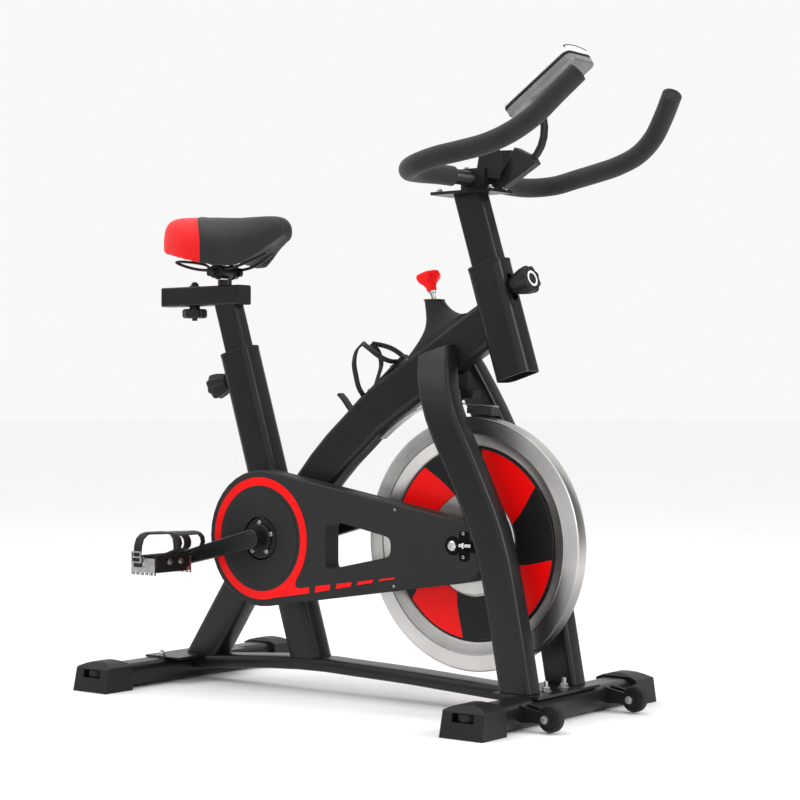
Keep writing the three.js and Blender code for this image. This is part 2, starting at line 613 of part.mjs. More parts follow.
function buildPedal(name, side, at) {
  const ordered = (a, b) => onSide(side, a, b);
  const { y0, y1, wall, low, high, toothHeight, bar } = PEDAL;
  const inside = PEDAL.rear - wall - GAP;

  // the core: a barrel on the spindle with a bar across each end
  const bars = [[y0 + 14, y0 + 26], [y1 - 26, y1 - 14]].map(
    ([a, b]) => block(-inside, inside, ...ordered(a, b), -bar, bar));
  const barrel = rod(PEDAL.half, 0, 0, ...ordered(y0 + wall + GAP, y1 - wall - GAP), 18);
  const bore = rod(PEDAL.spindle + GAP, 0, 0, ...ordered(y0 - 10, y1 - 11), 16);
  const core = subtract(union(barrel, ...bars), bore);
  addMesh(`pedal_body_${name}`, core, 'plastic').position.set(at.x, 0, at.z);

  // the cage: a rectangular band with teeth along its lower edge
  const band = block(-PEDAL.rear, PEDAL.front, ...ordered(y0, y1), low - toothHeight, high);
  const hollow = block(-PEDAL.rear + wall, PEDAL.front - wall, ...ordered(y0 + wall, y1 - wall), -60, 60);
  const notches = [block(-60, 60, ...ordered(y0 + wall, y1 - wall), low - 20, low)];
  for (let x = -PEDAL.rear + 6; x < PEDAL.front; x += PEDAL.pitch) {
    notches.push(block(x, x + PEDAL.pitch / 2, -300, 300, low - 20, low));
  }
  const spindleHole = rod(PEDAL.spindle + 1, 0, 0, ...ordered(y0 - 10, y0 + 10), 16);
  const cage = subtract(band, hollow, ...notches, spindleHole);
  addMesh(`pedal_cage_${name}`, cage, 'steel').position.set(at.x, 0, at.z);

  // the toe clip: a plate on the cage's front, then a bent strip that runs forward, up and back
  const front = PEDAL.front + GAP;
  const { reach, rise, thick } = CLIP;
  const path = pathXZ([[front + thick / 2, 4], [front + 4, 11], [reach - 26, 17], [reach - 4, 26],
    [reach, 36], [reach - 5, rise - 5], [reach - 18, rise], [reach - 46, rise - 1], [STRAP.x, STRAP.rise]]);
  const strip = sweep(rectangle(CLIP.y1 - CLIP.y0, thick), path, 16);
  strip.translate(0, (side * (CLIP.y0 + CLIP.y1)) / 2, 0);
  const base = block(front, front + thick, ...ordered(y0 + 8, y1), -PEDAL.half, PEDAL.half);
  const opening = block(reach - 30, 200, ...ordered(CLIP.y0 + 9, CLIP.y1 - 9), 14, rise - 4);

  // the strap: an arch over the pedal from the outer end plate to the inner one
  const arch = [[y1 + 3, -10], [y1 + 3, 14], [y1 - 2, 38], [y1 - 16, STRAP.rise],
    [(y0 + y1) / 2, STRAP.rise + 1], [y0 + 14, STRAP.rise - 1], [y0, 39], [y0 - 4, 25], [y0 - 4, 9]];
  const strapPath = arch.map(([y, z]) => v3(STRAP.x, side * y, z));
  const strap = sweep(rectangle(STRAP.width, STRAP.thick), strapPath, 14);
  const clip = subtract(union(base, strip, strap), opening);
  addMesh(`toe_clip_${name}`, largest(clip), 'plastic').position.set(at.x, 0, at.z);
}

// ---------------------------------------------------------------- posts, sleeves and knobs
function sleeve(axis, top, post) {
  const lipLow = top + GAP;
  const lining = leaningTube(axis, top - SLEEVE.inside, lipLow + 1, TUBE, -TUBE.wall - GAP);
  const lip = leaningTube(axis, lipLow, lipLow + SLEEVE.lip, TUBE, SLEEVE.grow);
  return subtract(union(lining, lip), leaningTube(axis, top - 60, top + 60, post, 2 * GAP));
}

function pullKnob() {
  const { radius, length, stem, pin, standOff } = KNOB;
  const face = standOff + length;
  return turned([[0, -8], [pin, -8], [pin, -3], [stem, -3], [stem, standOff - 4], [radius * 0.55, standOff],
    [radius * 0.85, standOff + length * 0.35], [radius, face - 6], [radius - 3, face], [0, face]], 16);
}

// a knob's local Z looks along the direction it is pulled
function placeKnob(name, at, direction, shift) {
  const knob = addMesh(name, pullKnob(), 'plastic');
  knob.quaternion.setFromUnitVectors(v3(0, 0, 1), direction);
  knob.position.set(at.x, 0, at.z).addScaledVector(direction, shift);
}

function buildPosts() {
  addMesh('seat_post_sleeve', sleeve(seatAxis, SEAT_TOP, SEAT_POST), 'plastic');
  addMesh('handlebar_post_sleeve', sleeve(headAxis, HEAD.top, BAR_POST), 'plastic');
  // each pin's tip stops just short of its post, so that the post slides past it
  placeKnob('seat_post_knob', seatKnobAt, square.clone().negate(), TUBE.depth / 2 + 7);
  placeKnob('handlebar_post_knob', headKnobAt, square, TUBE.depth / 2 + 3.6);

  const { x0, x1, half, thick } = TOP_PLATE;
  const { bottom, top } = BAR_POST;
  const topPlate = block(x0, x1, -half, half, top, top + thick);
  const above = block(0, 400, -60, 60, top + 1, 960);
  const barPost = subtract(leaningTube(headAxis, bottom, top + 20, BAR_POST), above);
  const c = CLAMP_BLOCK;
  const clampBlock = block(c.x0, c.x1, -c.half, c.half, top + 1, c.top);
  const around = sweep(circle(BAR.radius + 1), barCurve(), 46, 4);
  addMesh('handlebar_post', subtract(union(barPost, topPlate, clampBlock), around), 'frame');
}

// ---------------------------------------------------------------- saddle assembly
function buildSeat() {
  const r = SEAT_RAIL;
  const height = r.z1 - r.z0;
  const zMid = (r.z0 + r.z1) / 2;
  const section = (grow) => grown(r.width, height, r.corner, grow);
  const tube = (grow, x0, x1) => alongX(section(grow), x0, x1, 3).translate(0, 0, zMid);
  const bore = tube(-r.wall, r.x0 - 1, r.x1 + 1);
  const topSlot = block(SLIDER.boltX - SLIDER.back - 10, r.x1 - 6,
    -SLIDER.pin - 1, SLIDER.pin + 1, zMid, r.z1 + 5);
  const lowSlot = block(SLIDER.boltX - SLIDER.back - 6, SLIDER.boltX + SLIDER.forward + 6,
    -SLIDER.bolt - 1.5, SLIDER.bolt + 1.5, r.z0 - 5, zMid);
  const above = block(-520, -200, -60, 60, r.z0 + 1, 800);
  const post = subtract(leaningTube(seatAxis, SEAT_POST.bottom, r.z0 + 20, SEAT_POST), above);
  addMesh('seat_post', union(subtract(tube(0, r.x0, r.x1), bore, topSlot, lowSlot), post), 'frame');

  const bar = tube(-r.wall - SLIDER.clearance, SLIDER.x0, SLIDER.x1);
  const pin = upright(SLIDER.pin, zMid, SLIDER.pinTop, 20).translate(SLIDER.pinX, 0, 0);
  const bolt = upright(SLIDER.bolt, SLIDER.boltLow, SLIDER.boltTop, 16).translate(SLIDER.boltX, 0, 0);
  addMesh('seat_slider', union(bar, pin, bolt), 'frame');
  addMesh('slider_knob', lockKnob(), 'plastic').position.set(SLIDER.boltX, 0, 0);

  const barrel = rod(CLAMP.radius, CLAMP.x, CLAMP.z, -CLAMP.half, CLAMP.half, 20);
  const wire = [[-258, 9, 781], [-300, 19, 765], [-335, 22, 757], [-400, 24, 756], [-432, 34, 763],
    [-452, 38, 771], [-460, 18, 774]];
  const left = wire.map(([x, y, z]) => v3(x, y, z));
  const right = wire.map(([x, y, z]) => v3(x, -y, z)).reverse();
  addMesh('saddle_rails', union(sweep(circle(SADDLE_RAIL), [...left, ...right], 26, 3), barrel), 'steel');
  addMesh('saddle', buildSaddle(), 'leather');
}

// the lobed knob under the seat rail, on the slider's bolt
function lockKnob() {
  const { radius, lobes, z0, z1, bevel, collar } = LOCK_KNOB;
  const corners = [];
  for (let i = 0; i < 4 * lobes; i++) {
    const a = (Math.PI * i) / (2 * lobes);
    const r = radius * (0.94 + 0.06 * Math.cos(lobes * a)) - bevel;
    corners.push([r * Math.cos(a), r * Math.sin(a)]);
  }
  const edge = { bevelThickness: bevel, bevelSize: bevel, bevelSegments: 1 };
  const wing = new THREE.ExtrudeGeometry(polygon(corners), { depth: z1 - z0 - 2 * bevel, ...edge });
  wing.translate(0, 0, z0 + bevel);
  const neck = upright(collar, z1 - 2, SEAT_RAIL.z0 - GAP, 14);
  return subtract(union(wing, neck), upright(SLIDER.bolt + GAP, z0 - 10, SEAT_RAIL.z0, 16));
}

function buildSaddle() {
  const side = new THREE.Shape();
  side.moveTo(-476, 797);
  side.quadraticCurveTo(-470, 787, -421, 780);
  side.lineTo(-360, 765);
  side.quadraticCurveTo(-325, 754, -300, 757);
  side.lineTo(-277, 768);
  side.lineTo(-250, 785);
  side.lineTo(-214, 806);
  side.quadraticCurveTo(-207, 822, -214, 834);
  side.quadraticCurveTo(-224, 845, -250, 845);
  side.quadraticCurveTo(-330, 840, -400, 845);
  side.lineTo(-450, 848);
  side.quadraticCurveTo(-477, 846, -478, 822);
  const halfWidth = [[-478, 0], [-474, 34], [-460, 65], [-434, 83], [-400, 83], [-366, 74], [-330, 60],
    [-296, 45], [-262, 31], [-232, 22], [-214, 14], [-209, 0]];
  const top = new THREE.Shape();
  top.moveTo(...halfWidth[0]);
  top.splineThru(halfWidth.slice(1).map(([x, y]) => v2(x, -y)));
  top.splineThru(halfWidth.slice(0, -1).reverse().map(([x, y]) => v2(x, y)));
  const plan = new THREE.ExtrudeGeometry(top, { depth: 120, bevelEnabled: false, curveSegments: 2 });
  plan.translate(0, 0, 740);
  const mass = intersect(plate(side, -90, 90, 0, 3), plan);
  const under = block(-500, -262, -52, 52, 700, 785);
  const underNose = block(-270, -238, -18, 18, 700, 790);
  return largest(subtract(mass, under, underNose));
}

// ---------------------------------------------------------------- handlebar and console
function barCurve() {
  const left = barHalf.slice(1).map(([x, y, z]) => v3(x, y, z)).reverse();
  const right = barHalf.map(([x, y, z]) => v3(x, -y, z));
  return [...left, ...right];
}

function annulus(outer, inner) {
  const shape = circle(outer);
  const hole = new THREE.Path();
  hole.absarc(0, 0, inner, 0, 2 * Math.PI, true);
  shape.holes.push(hole);
  return shape;
}

function buildHandlebar() {
  addMesh('handlebar', sweep(circle(BAR.radius), barCurve(), 46, 4), 'frame');
  for (const [name, side] of SIDES) {
    const path = barHalf.slice(2).map(([x, y, z]) => v3(x, side * y, z));
    const beyond = path.at(-1).clone().sub(path.at(-2)).setLength(3).add(path.at(-1));
    addMesh(`grip_${name}`, sweep(annulus(BAR.gripOut, BAR.gripIn), [...path, beyond], 22, 4), 'foam');
  }
}

// the console lies on its back in its own frame, with its screen up, and is then tilted into place
function buildConsole() {
  const { length, width, thick, corner, bevel } = CONSOLE;
  const toConsole = (g) => g.rotateY(-CONSOLE.tilt).translate(CONSOLE.x, 0, CONSOLE.z);

  const wedge = polygon([[244, 874], [262, 867], [325, 903], [318, 915], [284, 932]]);
  const bracket = plate(wedge, -10.5, 10.5, 2, 2);
  const neckPath = pathXZ([[296, 903], [318, 914], [333, 936], [337, 962], [333, 985], [328, 1008]]);
  const neck = sweep(roundedRect(15, 9, 3.5), neckPath, 8);
  const keepOut = toConsole(block(-90, 90, -50, 50, -GAP, 60));
  addMesh('console_bracket', largest(subtract(union(bracket, neck), keepOut)), 'plastic');

  const edge = { bevelThickness: bevel, bevelSize: bevel, bevelSegments: 1, curveSegments: 2 };
  const outline = grown(length, width, corner, -bevel);
  const body = new THREE.ExtrudeGeometry(outline, { depth: thick - 2 * bevel, ...edge });
  body.translate(0, 0, bevel);
  const pocket = upright(BUTTON.pocket, thick - BUTTON.depth, thick + 5, 20).translate(BUTTON.x, 0, 0);
  addMesh('console', toConsole(subtract(body, pocket)), 'silver');

  const { radius, rise } = BUTTON;
  const low = thick - BUTTON.depth + 1.4;
  const button = turned([[0, low], [radius, low], [radius, thick + rise - 1], [radius - 1.5, thick + rise],
    [0, thick + rise]], 20);
  addMesh('console_button', toConsole(button.translate(BUTTON.x, 0, 0)), 'plastic');
}

// ---------------------------------------------------------------- brake
// a flared boot: level and narrow at its top, along the beam's slope and long at its foot
function brakeBoot() {
  const g = new THREE.CylinderGeometry(1, 1, 1, 24, 5).rotateX(Math.PI / 2);
  const p = g.attributes.position;
  for (let i = 0; i < p.count; i++) {
    const t = p.getZ(i) + 0.5;
    const flare = (1 - t) ** BOOT.curve;
    const along = p.getX(i) * (BOOT.topX + (BOOT.footX - BOOT.topX) * flare);
    const across = p.getY(i) * (BOOT.topY + (BOOT.footY - BOOT.topY) * flare);
    const centreX = THREE.MathUtils.lerp(BRAKE.x, BOOT.footCentre, flare);
    const height = THREE.MathUtils.lerp(BOOT.footZ, BRAKE.z, t);
    p.setXYZ(i, centreX + along, across, height + along * BOOT.slope * (1 - t));
  }
  return g;
}

function buildBrake() {
  const bore = drill(BRAKE, brakeDown, -40, 200, BRAKE.rod + 2);
  addMesh('brake_housing', largest(subtract(brakeBoot(), mainBeam(GAP), bore)), 'plastic');

  const drop = (BRAKE.z - BRAKE.foot) / Math.cos(LEAN);
  const stem = drill(BRAKE, brakeDown, -BRAKE.above, drop - 1, BRAKE.rod, 16);
  const foot = drill(BRAKE, brakeDown, drop - 6, drop - 1.6, BRAKE.footRadius, 16);
  addMesh('brake_rod', union(stem, foot), 'chrome');

  const cap = turned([[0, 16], [8.5, 16], [9, 25], [14, 34], [18.5, 39], [20, 43.5], [18, 47],
    [10, 49], [0, 49.5]], 20);
  const socket = upright(BRAKE.rod + GAP, 5, BRAKE.above + 2, 14);
  const knob = addMesh('brake_knob', subtract(cap, socket), 'red');
  knob.quaternion.setFromUnitVectors(v3(0, 0, 1), brakeDown.clone().negate());
  knob.position.set(BRAKE.x, 0, BRAKE.z);

  const leaf = sweep(rectangle(BRAKE.leafWidth, BRAKE.leafThick), leafPath, 10);
  addMesh('brake_leaf', leaf, 'steel');

  const mass = block(190, 240, -12, 12, 480, 504);
  const rimSpace = rod(FLYWHEEL.radius + BRAKE.gap, WHEEL_CENTRE.x, WHEEL_CENTRE.z, -40, 40, 96);
  const leafSpace = sweep(rectangle(60, BRAKE.leafThick + 2 * GAP), leafPath, 10);
  addMesh('brake_pad', subtract(mass, rimSpace, leafSpace), 'felt');
}

// ---------------------------------------------------------------- bottle cage
function buildBottleCage() {
  const STEPS = 20;
  const hoops = [[-4, 38], [92, 47]].map(([base, top]) => {
    const points = [];
    for (let i = 0; i <= STEPS; i++) {
      const a = THREE.MathUtils.lerp(0.2, 2 * Math.PI - 0.2, i / STEPS);
      const along = THREE.MathUtils.lerp(base, top, (1 - Math.cos(a)) / 2);
      points.push(v3(along, CAGE.radius * Math.sin(a), CAGE.rise - (CAGE.radius + 3) * Math.cos(a)));
    }
    return sweep(circle(CAGE.rib), points, STEPS, 3);
  });
  const spine = block(-50, 106, -CAGE.width / 2, CAGE.width / 2, -6, 5);
  const foot = block(-48, -42, -CAGE.width / 2, CAGE.width / 2, -4, 44);
  const cage = union(spine, foot, ...hoops).rotateY(-CAGE.tilt).translate(CAGE.x, 0, CAGE.z);
  addMesh('bottle_cage', largest(subtract(cage, mainBeam(GAP))), 'plastic');
}

buildFrameTubes();
buildFork();
buildStabilizers();
buildFeet();
buildFlywheel();
buildCover();
buildDrive();
buildPosts();
buildSeat();
buildHandlebar();
buildConsole();
buildBrake();
buildBottleCage();

export default bike;
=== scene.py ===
# Exercise bike: the visible model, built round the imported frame.
# Metres. +X is forward, +Y is the rider's left, +Z is up.
import json
import math
import bmesh
import bpy
from mathutils import Matrix, Vector
from mathutils.bvhtree import BVHTree


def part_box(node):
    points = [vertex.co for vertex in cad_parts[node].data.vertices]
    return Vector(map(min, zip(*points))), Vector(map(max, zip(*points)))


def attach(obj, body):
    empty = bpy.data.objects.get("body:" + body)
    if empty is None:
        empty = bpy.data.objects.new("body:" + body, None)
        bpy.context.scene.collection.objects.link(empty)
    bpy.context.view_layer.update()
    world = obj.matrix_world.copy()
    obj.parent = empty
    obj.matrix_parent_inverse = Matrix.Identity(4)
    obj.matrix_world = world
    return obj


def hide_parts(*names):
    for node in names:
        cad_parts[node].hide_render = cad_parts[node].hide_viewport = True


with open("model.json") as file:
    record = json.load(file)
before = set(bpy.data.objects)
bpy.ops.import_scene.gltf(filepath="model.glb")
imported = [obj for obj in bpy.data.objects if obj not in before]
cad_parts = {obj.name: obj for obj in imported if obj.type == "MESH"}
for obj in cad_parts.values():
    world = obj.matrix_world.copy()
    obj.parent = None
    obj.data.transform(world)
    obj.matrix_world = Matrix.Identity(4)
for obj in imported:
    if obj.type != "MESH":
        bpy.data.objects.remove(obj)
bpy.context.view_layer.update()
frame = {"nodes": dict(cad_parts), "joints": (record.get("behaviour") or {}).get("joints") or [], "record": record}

# ---------------------------------------------------------------- places read from the frame
MM = 0.001
BODY_OF = {node: body for body, nodes in frame["record"]["behaviour"]["bodies"].items() for node in nodes}
JOINT = {joint["name"]: joint for joint in frame["joints"]}
SIDES = (("right", -1), ("left", 1))
UP = Vector((0, 0, 1))
ACROSS = Vector((0, 1, 0))
FORWARD = Vector((1, 0, 0))


def middle(node):
    """The middle of a CAD node's box."""
    low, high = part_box(node)
    return (low + high) / 2


def axis_of(name):
    """The direction in which a joint slides or about which it turns."""
    return Vector(JOINT[name]["axis"]).normalized()


def on_axis(name, height):
    """The point at that height on a sliding joint's line."""
    start, way = Vector(JOINT[name]["pos_m"]), axis_of(name)
    return start + way * ((height - start.z) / way.z)


CRANK = Vector((middle("chainring").x, 0, middle("chainring").z))
WHEEL = Vector((middle("flywheel").x, 0, middle("flywheel").z))
COVER_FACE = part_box("chain_cover_outer")[0].y


# ---------------------------------------------------------------- materials
def linear(red, green, blue):
    """A display colour of 0 to 255 as the linear colour that shaders use."""
    def channel(value):
        value /= 255
        return value / 12.92 if value <= 0.04045 else ((value + 0.055) / 1.055) ** 2.4
    return (channel(red), channel(green), channel(blue), 1.0)


NOISE_LOW, NOISE_HIGH = 0.3, 0.7


class Surface:
    """One Principled material with short calls for the nodes that give it detail."""

    def __init__(self, name, slot, **sockets):
        self.material = bpy.data.materials.new(name)
        self.material.use_nodes = True
        self.material["slot"] = slot
        self.tree = self.material.node_tree
        self.shader = self.tree.nodes["Principled BSDF"]
        for socket, value in sockets.items():
            self.shader.inputs[socket.replace("_", " ")].default_value = value
        self.place = self.tree.nodes.new("ShaderNodeTexCoord").outputs["Object"]

    def node(self, kind, settings=None, **inputs):
        made = self.tree.nodes.new("ShaderNode" + kind)
        for key, value in (settings or {}).items():
            setattr(made, key, value)
        for key, value in inputs.items():
            self.feed(made.inputs[key.replace("_", " ")], value)
        return made

    def feed(self, socket, value):
        if isinstance(value, bpy.types.NodeSocket):
            self.tree.links.new(value, socket)
        else:
            socket.default_value = value

    def noise(self, scale, detail=3.0):
        return self.node("TexNoise", Vector=self.place, Scale=scale, Detail=detail).outputs[0]

    def cells(self, scale):
        return self.node("TexVoronoi", Vector=self.place, Scale=scale).outputs["Distance"]

    def math(self, operation, first, second=0.0):
        made = self.tree.nodes.new("ShaderNodeMath")
        made.operation = operation
        self.feed(made.inputs[0], first)
        self.feed(made.inputs[1], second)
        return made.outputs[0]

    def span(self, value, low, high, start=NOISE_LOW, end=NOISE_HIGH):
        """Stretches start..end of a value to low..high."""
        made = self.node("MapRange", Value=value, From_Min=start, From_Max=end, To_Min=low, To_Max=high)
        return made.outputs["Result"]

    def colour(self, value, first, second):
        ramp = self.node("ValToRGB", Fac=value)
        start, end = ramp.color_ramp.elements
        start.position = NOISE_LOW
        start.color = first
        end.position = NOISE_HIGH
        end.color = second
        return ramp.outputs["Color"]

    def blend(self, value, first, second):
        made = self.tree.nodes.new("ShaderNodeMix")
        made.data_type = "RGBA"
        for index, given in ((0, value), (6, first), (7, second)):
            self.feed(made.inputs[index], given)
        return made.outputs[2]

    def use(self, socket, value):
        self.feed(self.shader.inputs[socket], value)

    def bump(self, height, distance, strength=1.0):
        made = self.node("Bump", Height=height, Distance=distance, Strength=strength)
        earlier = self.shader.inputs["Normal"].links
        if earlier:
            self.feed(made.inputs["Normal"], earlier[0].from_socket)
        self.use("Normal", made.outputs["Normal"])


def mottled(name, slot, tones, gloss, **sockets):
    """A surface whose colour and roughness wander. Each is given as (noise scale, low, high)."""
    look = Surface(name, slot, **sockets)
    scale, dark, light = tones
    look.use("Base Color", look.colour(look.noise(scale), linear(*dark), linear(*light)))
    scale, low, high = gloss
    look.use("Roughness", look.span(look.noise(scale), low, high))
    return look


def powder_coat():
    look = mottled("powder_coat", "frame", (9, (20, 20, 21), (27, 27, 28)), (260, 0.3, 0.38),
                   Specular_IOR_Level=0.34)
    look.bump(look.noise(1400, 2), 0.00012, 0.35)
    look.bump(look.noise(330, 2), 0.0001, 0.2)
    return look.material


def moulded_plastic():
    look = mottled("moulded_plastic", "plastic", (14, (17, 17, 18), (24, 24, 25)), (420, 0.42, 0.55),
                   Specular_IOR_Level=0.32)
    look.bump(look.cells(1500), 0.00012, 0.35)
    return look.material


def cover_plastic():
    look = mottled("cover_plastic", "plastic", (7, (29, 29, 30), (35, 35, 35)), (500, 0.5, 0.6),
                   Specular_IOR_Level=0.3)
    look.bump(look.cells(2100), 0.0001, 0.3)
    return look.material


# Directions round the axle, in degrees, in which the turned face gets painted shade, a darker colour standing in
# for dark reflections.
SHADE_DIRECTIONS = (86, -38)


def machined_steel(name, centre):
    """Turned steel: fine rings round the wheel's axle, with two wedges of painted shade."""
    look = Surface(name, "steel", Metallic=1.0, Anisotropic=0.55)
    parts = look.node("SeparateXYZ", Vector=look.place)
    across = look.math("SUBTRACT", parts.outputs["X"], centre.x)
    above = look.math("SUBTRACT", parts.outputs["Z"], centre.z)
    squared = look.math("ADD", look.math("MULTIPLY", across, across), look.math("MULTIPLY", above, above))
    radius = look.math("SQRT", squared)
    rings = look.node("TexNoise", {"noise_dimensions": "1D"}, W=radius, Scale=2600.0, Detail=4.0).outputs[0]
    stain = look.noise(11, 4)
    light = look.colour(stain, linear(196, 194, 191), linear(214, 212, 209))
    painted_shade = 0.0
    for degrees in SHADE_DIRECTIONS:
        toward = Vector((math.cos(math.radians(degrees)), math.sin(math.radians(degrees))))
        forward = look.math("MULTIPLY", across, toward.x)
        along = look.math("ADD", forward, look.math("MULTIPLY", above, toward.y))
        wedge = look.span(look.math("DIVIDE", along, radius), 0.0, 0.75, 0.86, 1.0)
        painted_shade = look.math("MAXIMUM", wedge, painted_shade)
    # painted shade: the wedges darken the steel's colour near the top and towards the lower front, copying dark
    # reflections
    look.use("Base Color", look.blend(painted_shade, light, linear(72, 71, 70)))
    look.use("Roughness", look.span(rings, 0.26, 0.42))
    look.use("Tangent", look.node("Tangent", {"direction_type": "RADIAL", "axis": "Y"}).outputs[0])
    look.bump(rings, 0.00004, 0.5)
    return look.material


def plated_steel():
    look = mottled("plated_steel", "chrome", (60, (205, 205, 206), (222, 222, 224)), (700, 0.14, 0.26),
                   Metallic=1.0)
    look.bump(look.noise(900), 0.00003, 0.3)
    return look.material


def zinc_steel():
    look = mottled("zinc_steel", "steel", (120, (168, 168, 166), (200, 200, 199)), (800, 0.28, 0.45),
                   Metallic=1.0)
    look.bump(look.noise(1600), 0.00005, 0.5)
    return look.material


def red_lacquer():
    look = mottled("red_lacquer", "red", (16, (242, 6, 6), (252, 10, 9)), (500, 0.34, 0.46),
                   Specular_IOR_Level=0.2)
    look.bump(look.noise(900), 0.00005, 0.4)
    return look.material


def black_rubber():
    look = mottled("black_rubber", "rubber", (40, (27, 27, 27), (38, 38, 38)), (500, 0.6, 0.78),
                   Specular_IOR_Level=0.3)
    look.bump(look.cells(1200), 0.0002, 0.4)
    return look.material


def grip_foam():
    look = mottled("grip_foam", "foam", (30, (25, 25, 26), (33, 33, 34)), (900, 0.62, 0.8),
                   Specular_IOR_Level=0.25, Sheen_Weight=0.12, Sheen_Roughness=0.6)
    look.bump(look.cells(1900), 0.00022, 0.55)
    look.bump(look.noise(240), 0.0003, 0.25)
    return look.material


def silver_plastic():
    look = mottled("silver_plastic", "silver", (20, (112, 113, 115), (132, 133, 135)), (1100, 0.3, 0.4),
                   Metallic=0.35, Specular_IOR_Level=0.5)
    look.bump(look.noise(2000), 0.00003, 0.4)
    return look.material


def white_plastic():
    look = mottled("white_plastic", "silver", (20, (226, 227, 229), (238, 239, 240)), (1100, 0.34, 0.44),
                   Specular_IOR_Level=0.5)
    look.bump(look.noise(1500), 0.00003, 0.4)
    return look.material


def screen_glass():
    look = mottled("screen_glass", "plastic", (35, (22, 26, 25), (34, 39, 37)), (60, 0.1, 0.18),
                   Specular_IOR_Level=0.6, Coat_Weight=0.6, Coat_Roughness=0.04)
    return look.material


def painted_recess_shade():
    """Painted shade: a near-black surface laid where the inside of holes and slots is dark."""
    look = mottled("painted_recess_shade", "plastic", (40, (6, 6, 6), (11, 11, 11)), (300, 0.7, 0.85),
                   Specular_IOR_Level=0.1)
    return look.material


def brake_felt():
    look = Surface("brake_felt", "felt", Specular_IOR_Level=0.15, Sheen_Weight=0.3)
    fibres = look.noise(1500, 6)
    look.use("Base Color", look.colour(fibres, linear(28, 27, 26), linear(52, 50, 47)))
    look.use("Roughness", look.span(fibres, 0.82, 0.95))
    look.bump(fibres, 0.0004, 0.8)
    return look.material


def print_ink(name, slot, dark, light):
    look = mottled(name, slot, (10, dark, light), (300, 0.3, 0.42), Specular_IOR_Level=0.2)
    look.bump(look.noise(700), 0.00003, 0.4)
    return look.material


SEAM = {"centre": -0.412, "sweep": 9.6, "groove": 0.0016}


def saddle_leather():
    """Grained cover with a red rear panel; the colours meet along the seam's curve."""
    look = Surface("saddle_leather", "leather", Specular_IOR_Level=0.3, Sheen_Weight=0.06)
    parts = look.node("SeparateXYZ", Vector=look.place)
    bow = look.math("MULTIPLY", look.math("MULTIPLY", parts.outputs["Y"], parts.outputs["Y"]), SEAM["sweep"])
    seam = look.math("ADD", bow, SEAM["centre"])
    ahead = look.math("SUBTRACT", parts.outputs["X"], seam)
    facing = look.node("SeparateXYZ", Vector=look.place.node.outputs["Normal"])
    inward = look.math("LESS_THAN", look.math("MULTIPLY", facing.outputs["Y"], parts.outputs["Y"]), -0.008)
    is_black = look.math("MAXIMUM", look.math("GREATER_THAN", ahead, 0.0), inward)
    tone = look.noise(26)
    black = look.colour(tone, linear(28, 28, 30), linear(36, 36, 38))
    red = look.colour(tone, linear(222, 5, 7), linear(238, 9, 10))
    look.use("Base Color", look.blend(is_black, red, black))
    grain = look.cells(620)
    look.use("Roughness", look.span(grain, 0.42, 0.58, 0.0, 0.8))
    look.bump(grain, 0.00035, 0.35)
    look.bump(look.noise(160), 0.0005, 0.15)
    beside = look.span(look.math("ABSOLUTE", ahead), 0.0, 1.0, 0.0, SEAM["groove"])
    look.bump(beside, 0.0012, 0.6)
    return look.material


POWDER = powder_coat()
PLASTIC = moulded_plastic()
COVER = cover_plastic()
STEEL = machined_steel("flywheel_steel", WHEEL)
CHROME = plated_steel()
ZINC = zinc_steel()
RED = red_lacquer()
RUBBER = black_rubber()
FOAM = grip_foam()
SILVER = silver_plastic()
WHITE = white_plastic()
SCREEN = screen_glass()
FELT = brake_felt()
# near-black surface used as painted shade inside holes and slots
RECESS_SHADE = painted_recess_shade()
LEATHER = saddle_leather()
PRINT_RED = print_ink("printed_red", "red", (248, 4, 4), (255, 7, 7))
PRINT_BLACK = print_ink("printed_black", "plastic", (24, 24, 25), (31, 31, 32))


# ---------------------------------------------------------------- shape helpers
def mm(*points):
    """Points given in millimetres, in metres."""
    return [tuple(value * MM for value in point) for point in points]


def shift(*offset):
    """A move given in millimetres."""
    return Matrix.Translation([value * MM for value in offset])


def signed_power(value, power):
    return math.copysign(abs(value) ** power, value)


def chamfered(radius, low, top, edge):
    """The profile of a disc whose two edges are cut back."""
    return [(0, low), (radius - edge, low), (radius, low + edge),
            (radius, top - edge), (radius - edge, top), (0, top)]


def place(at, axis, across=ACROSS):
    """A matrix whose Z runs along axis and whose X is as near across as it can be."""
    z = Vector(axis).normalized()
    x = Vector(across) - z * z.dot(Vector(across))
    if x.length < 1e-6:
        x = FORWARD - z * z.dot(FORWARD)
    x.normalize()
    made = Matrix((x, z.cross(x), z)).transposed().to_4x4()
    made.translation = Vector(at)
    return made


def join(bm, first, second):
    """Fills the strip between two rings, or a fan where one of them is a single point."""
    for i in range(max(len(first), len(second))):
        corners = [first[i % len(first)], first[(i + 1) % len(first)],
                   second[(i + 1) % len(second)], second[i % len(second)]]
        corners = list(dict.fromkeys(corners))
        bm.faces.new(corners)


def lathe(bm, profile, at, segments=48, closed=False, flutes=0, depth=0.0, fluted_from=0.0):
    """Turns (radius, height) pairs about local Z. Flutes press hollows into radii past fluted_from."""
    rings = []
    for radius, height in profile:
        if radius == 0:
            rings.append([bm.verts.new(at @ Vector((0, 0, height)))])
            continue
        ring = []
        for i in range(segments):
            angle = 2 * math.pi * i / segments
            wave = 1 - depth * (0.5 + 0.5 * math.cos(flutes * angle)) if radius > fluted_from else 1
            local = Vector((radius * wave * math.cos(angle), radius * wave * math.sin(angle), height))
            ring.append(bm.verts.new(at @ local))
        rings.append(ring)
    pairs = list(zip(rings, rings[1:]))
    if closed:
        pairs.append((rings[-1], rings[0]))
    for first, second in pairs:
        join(bm, first, second)


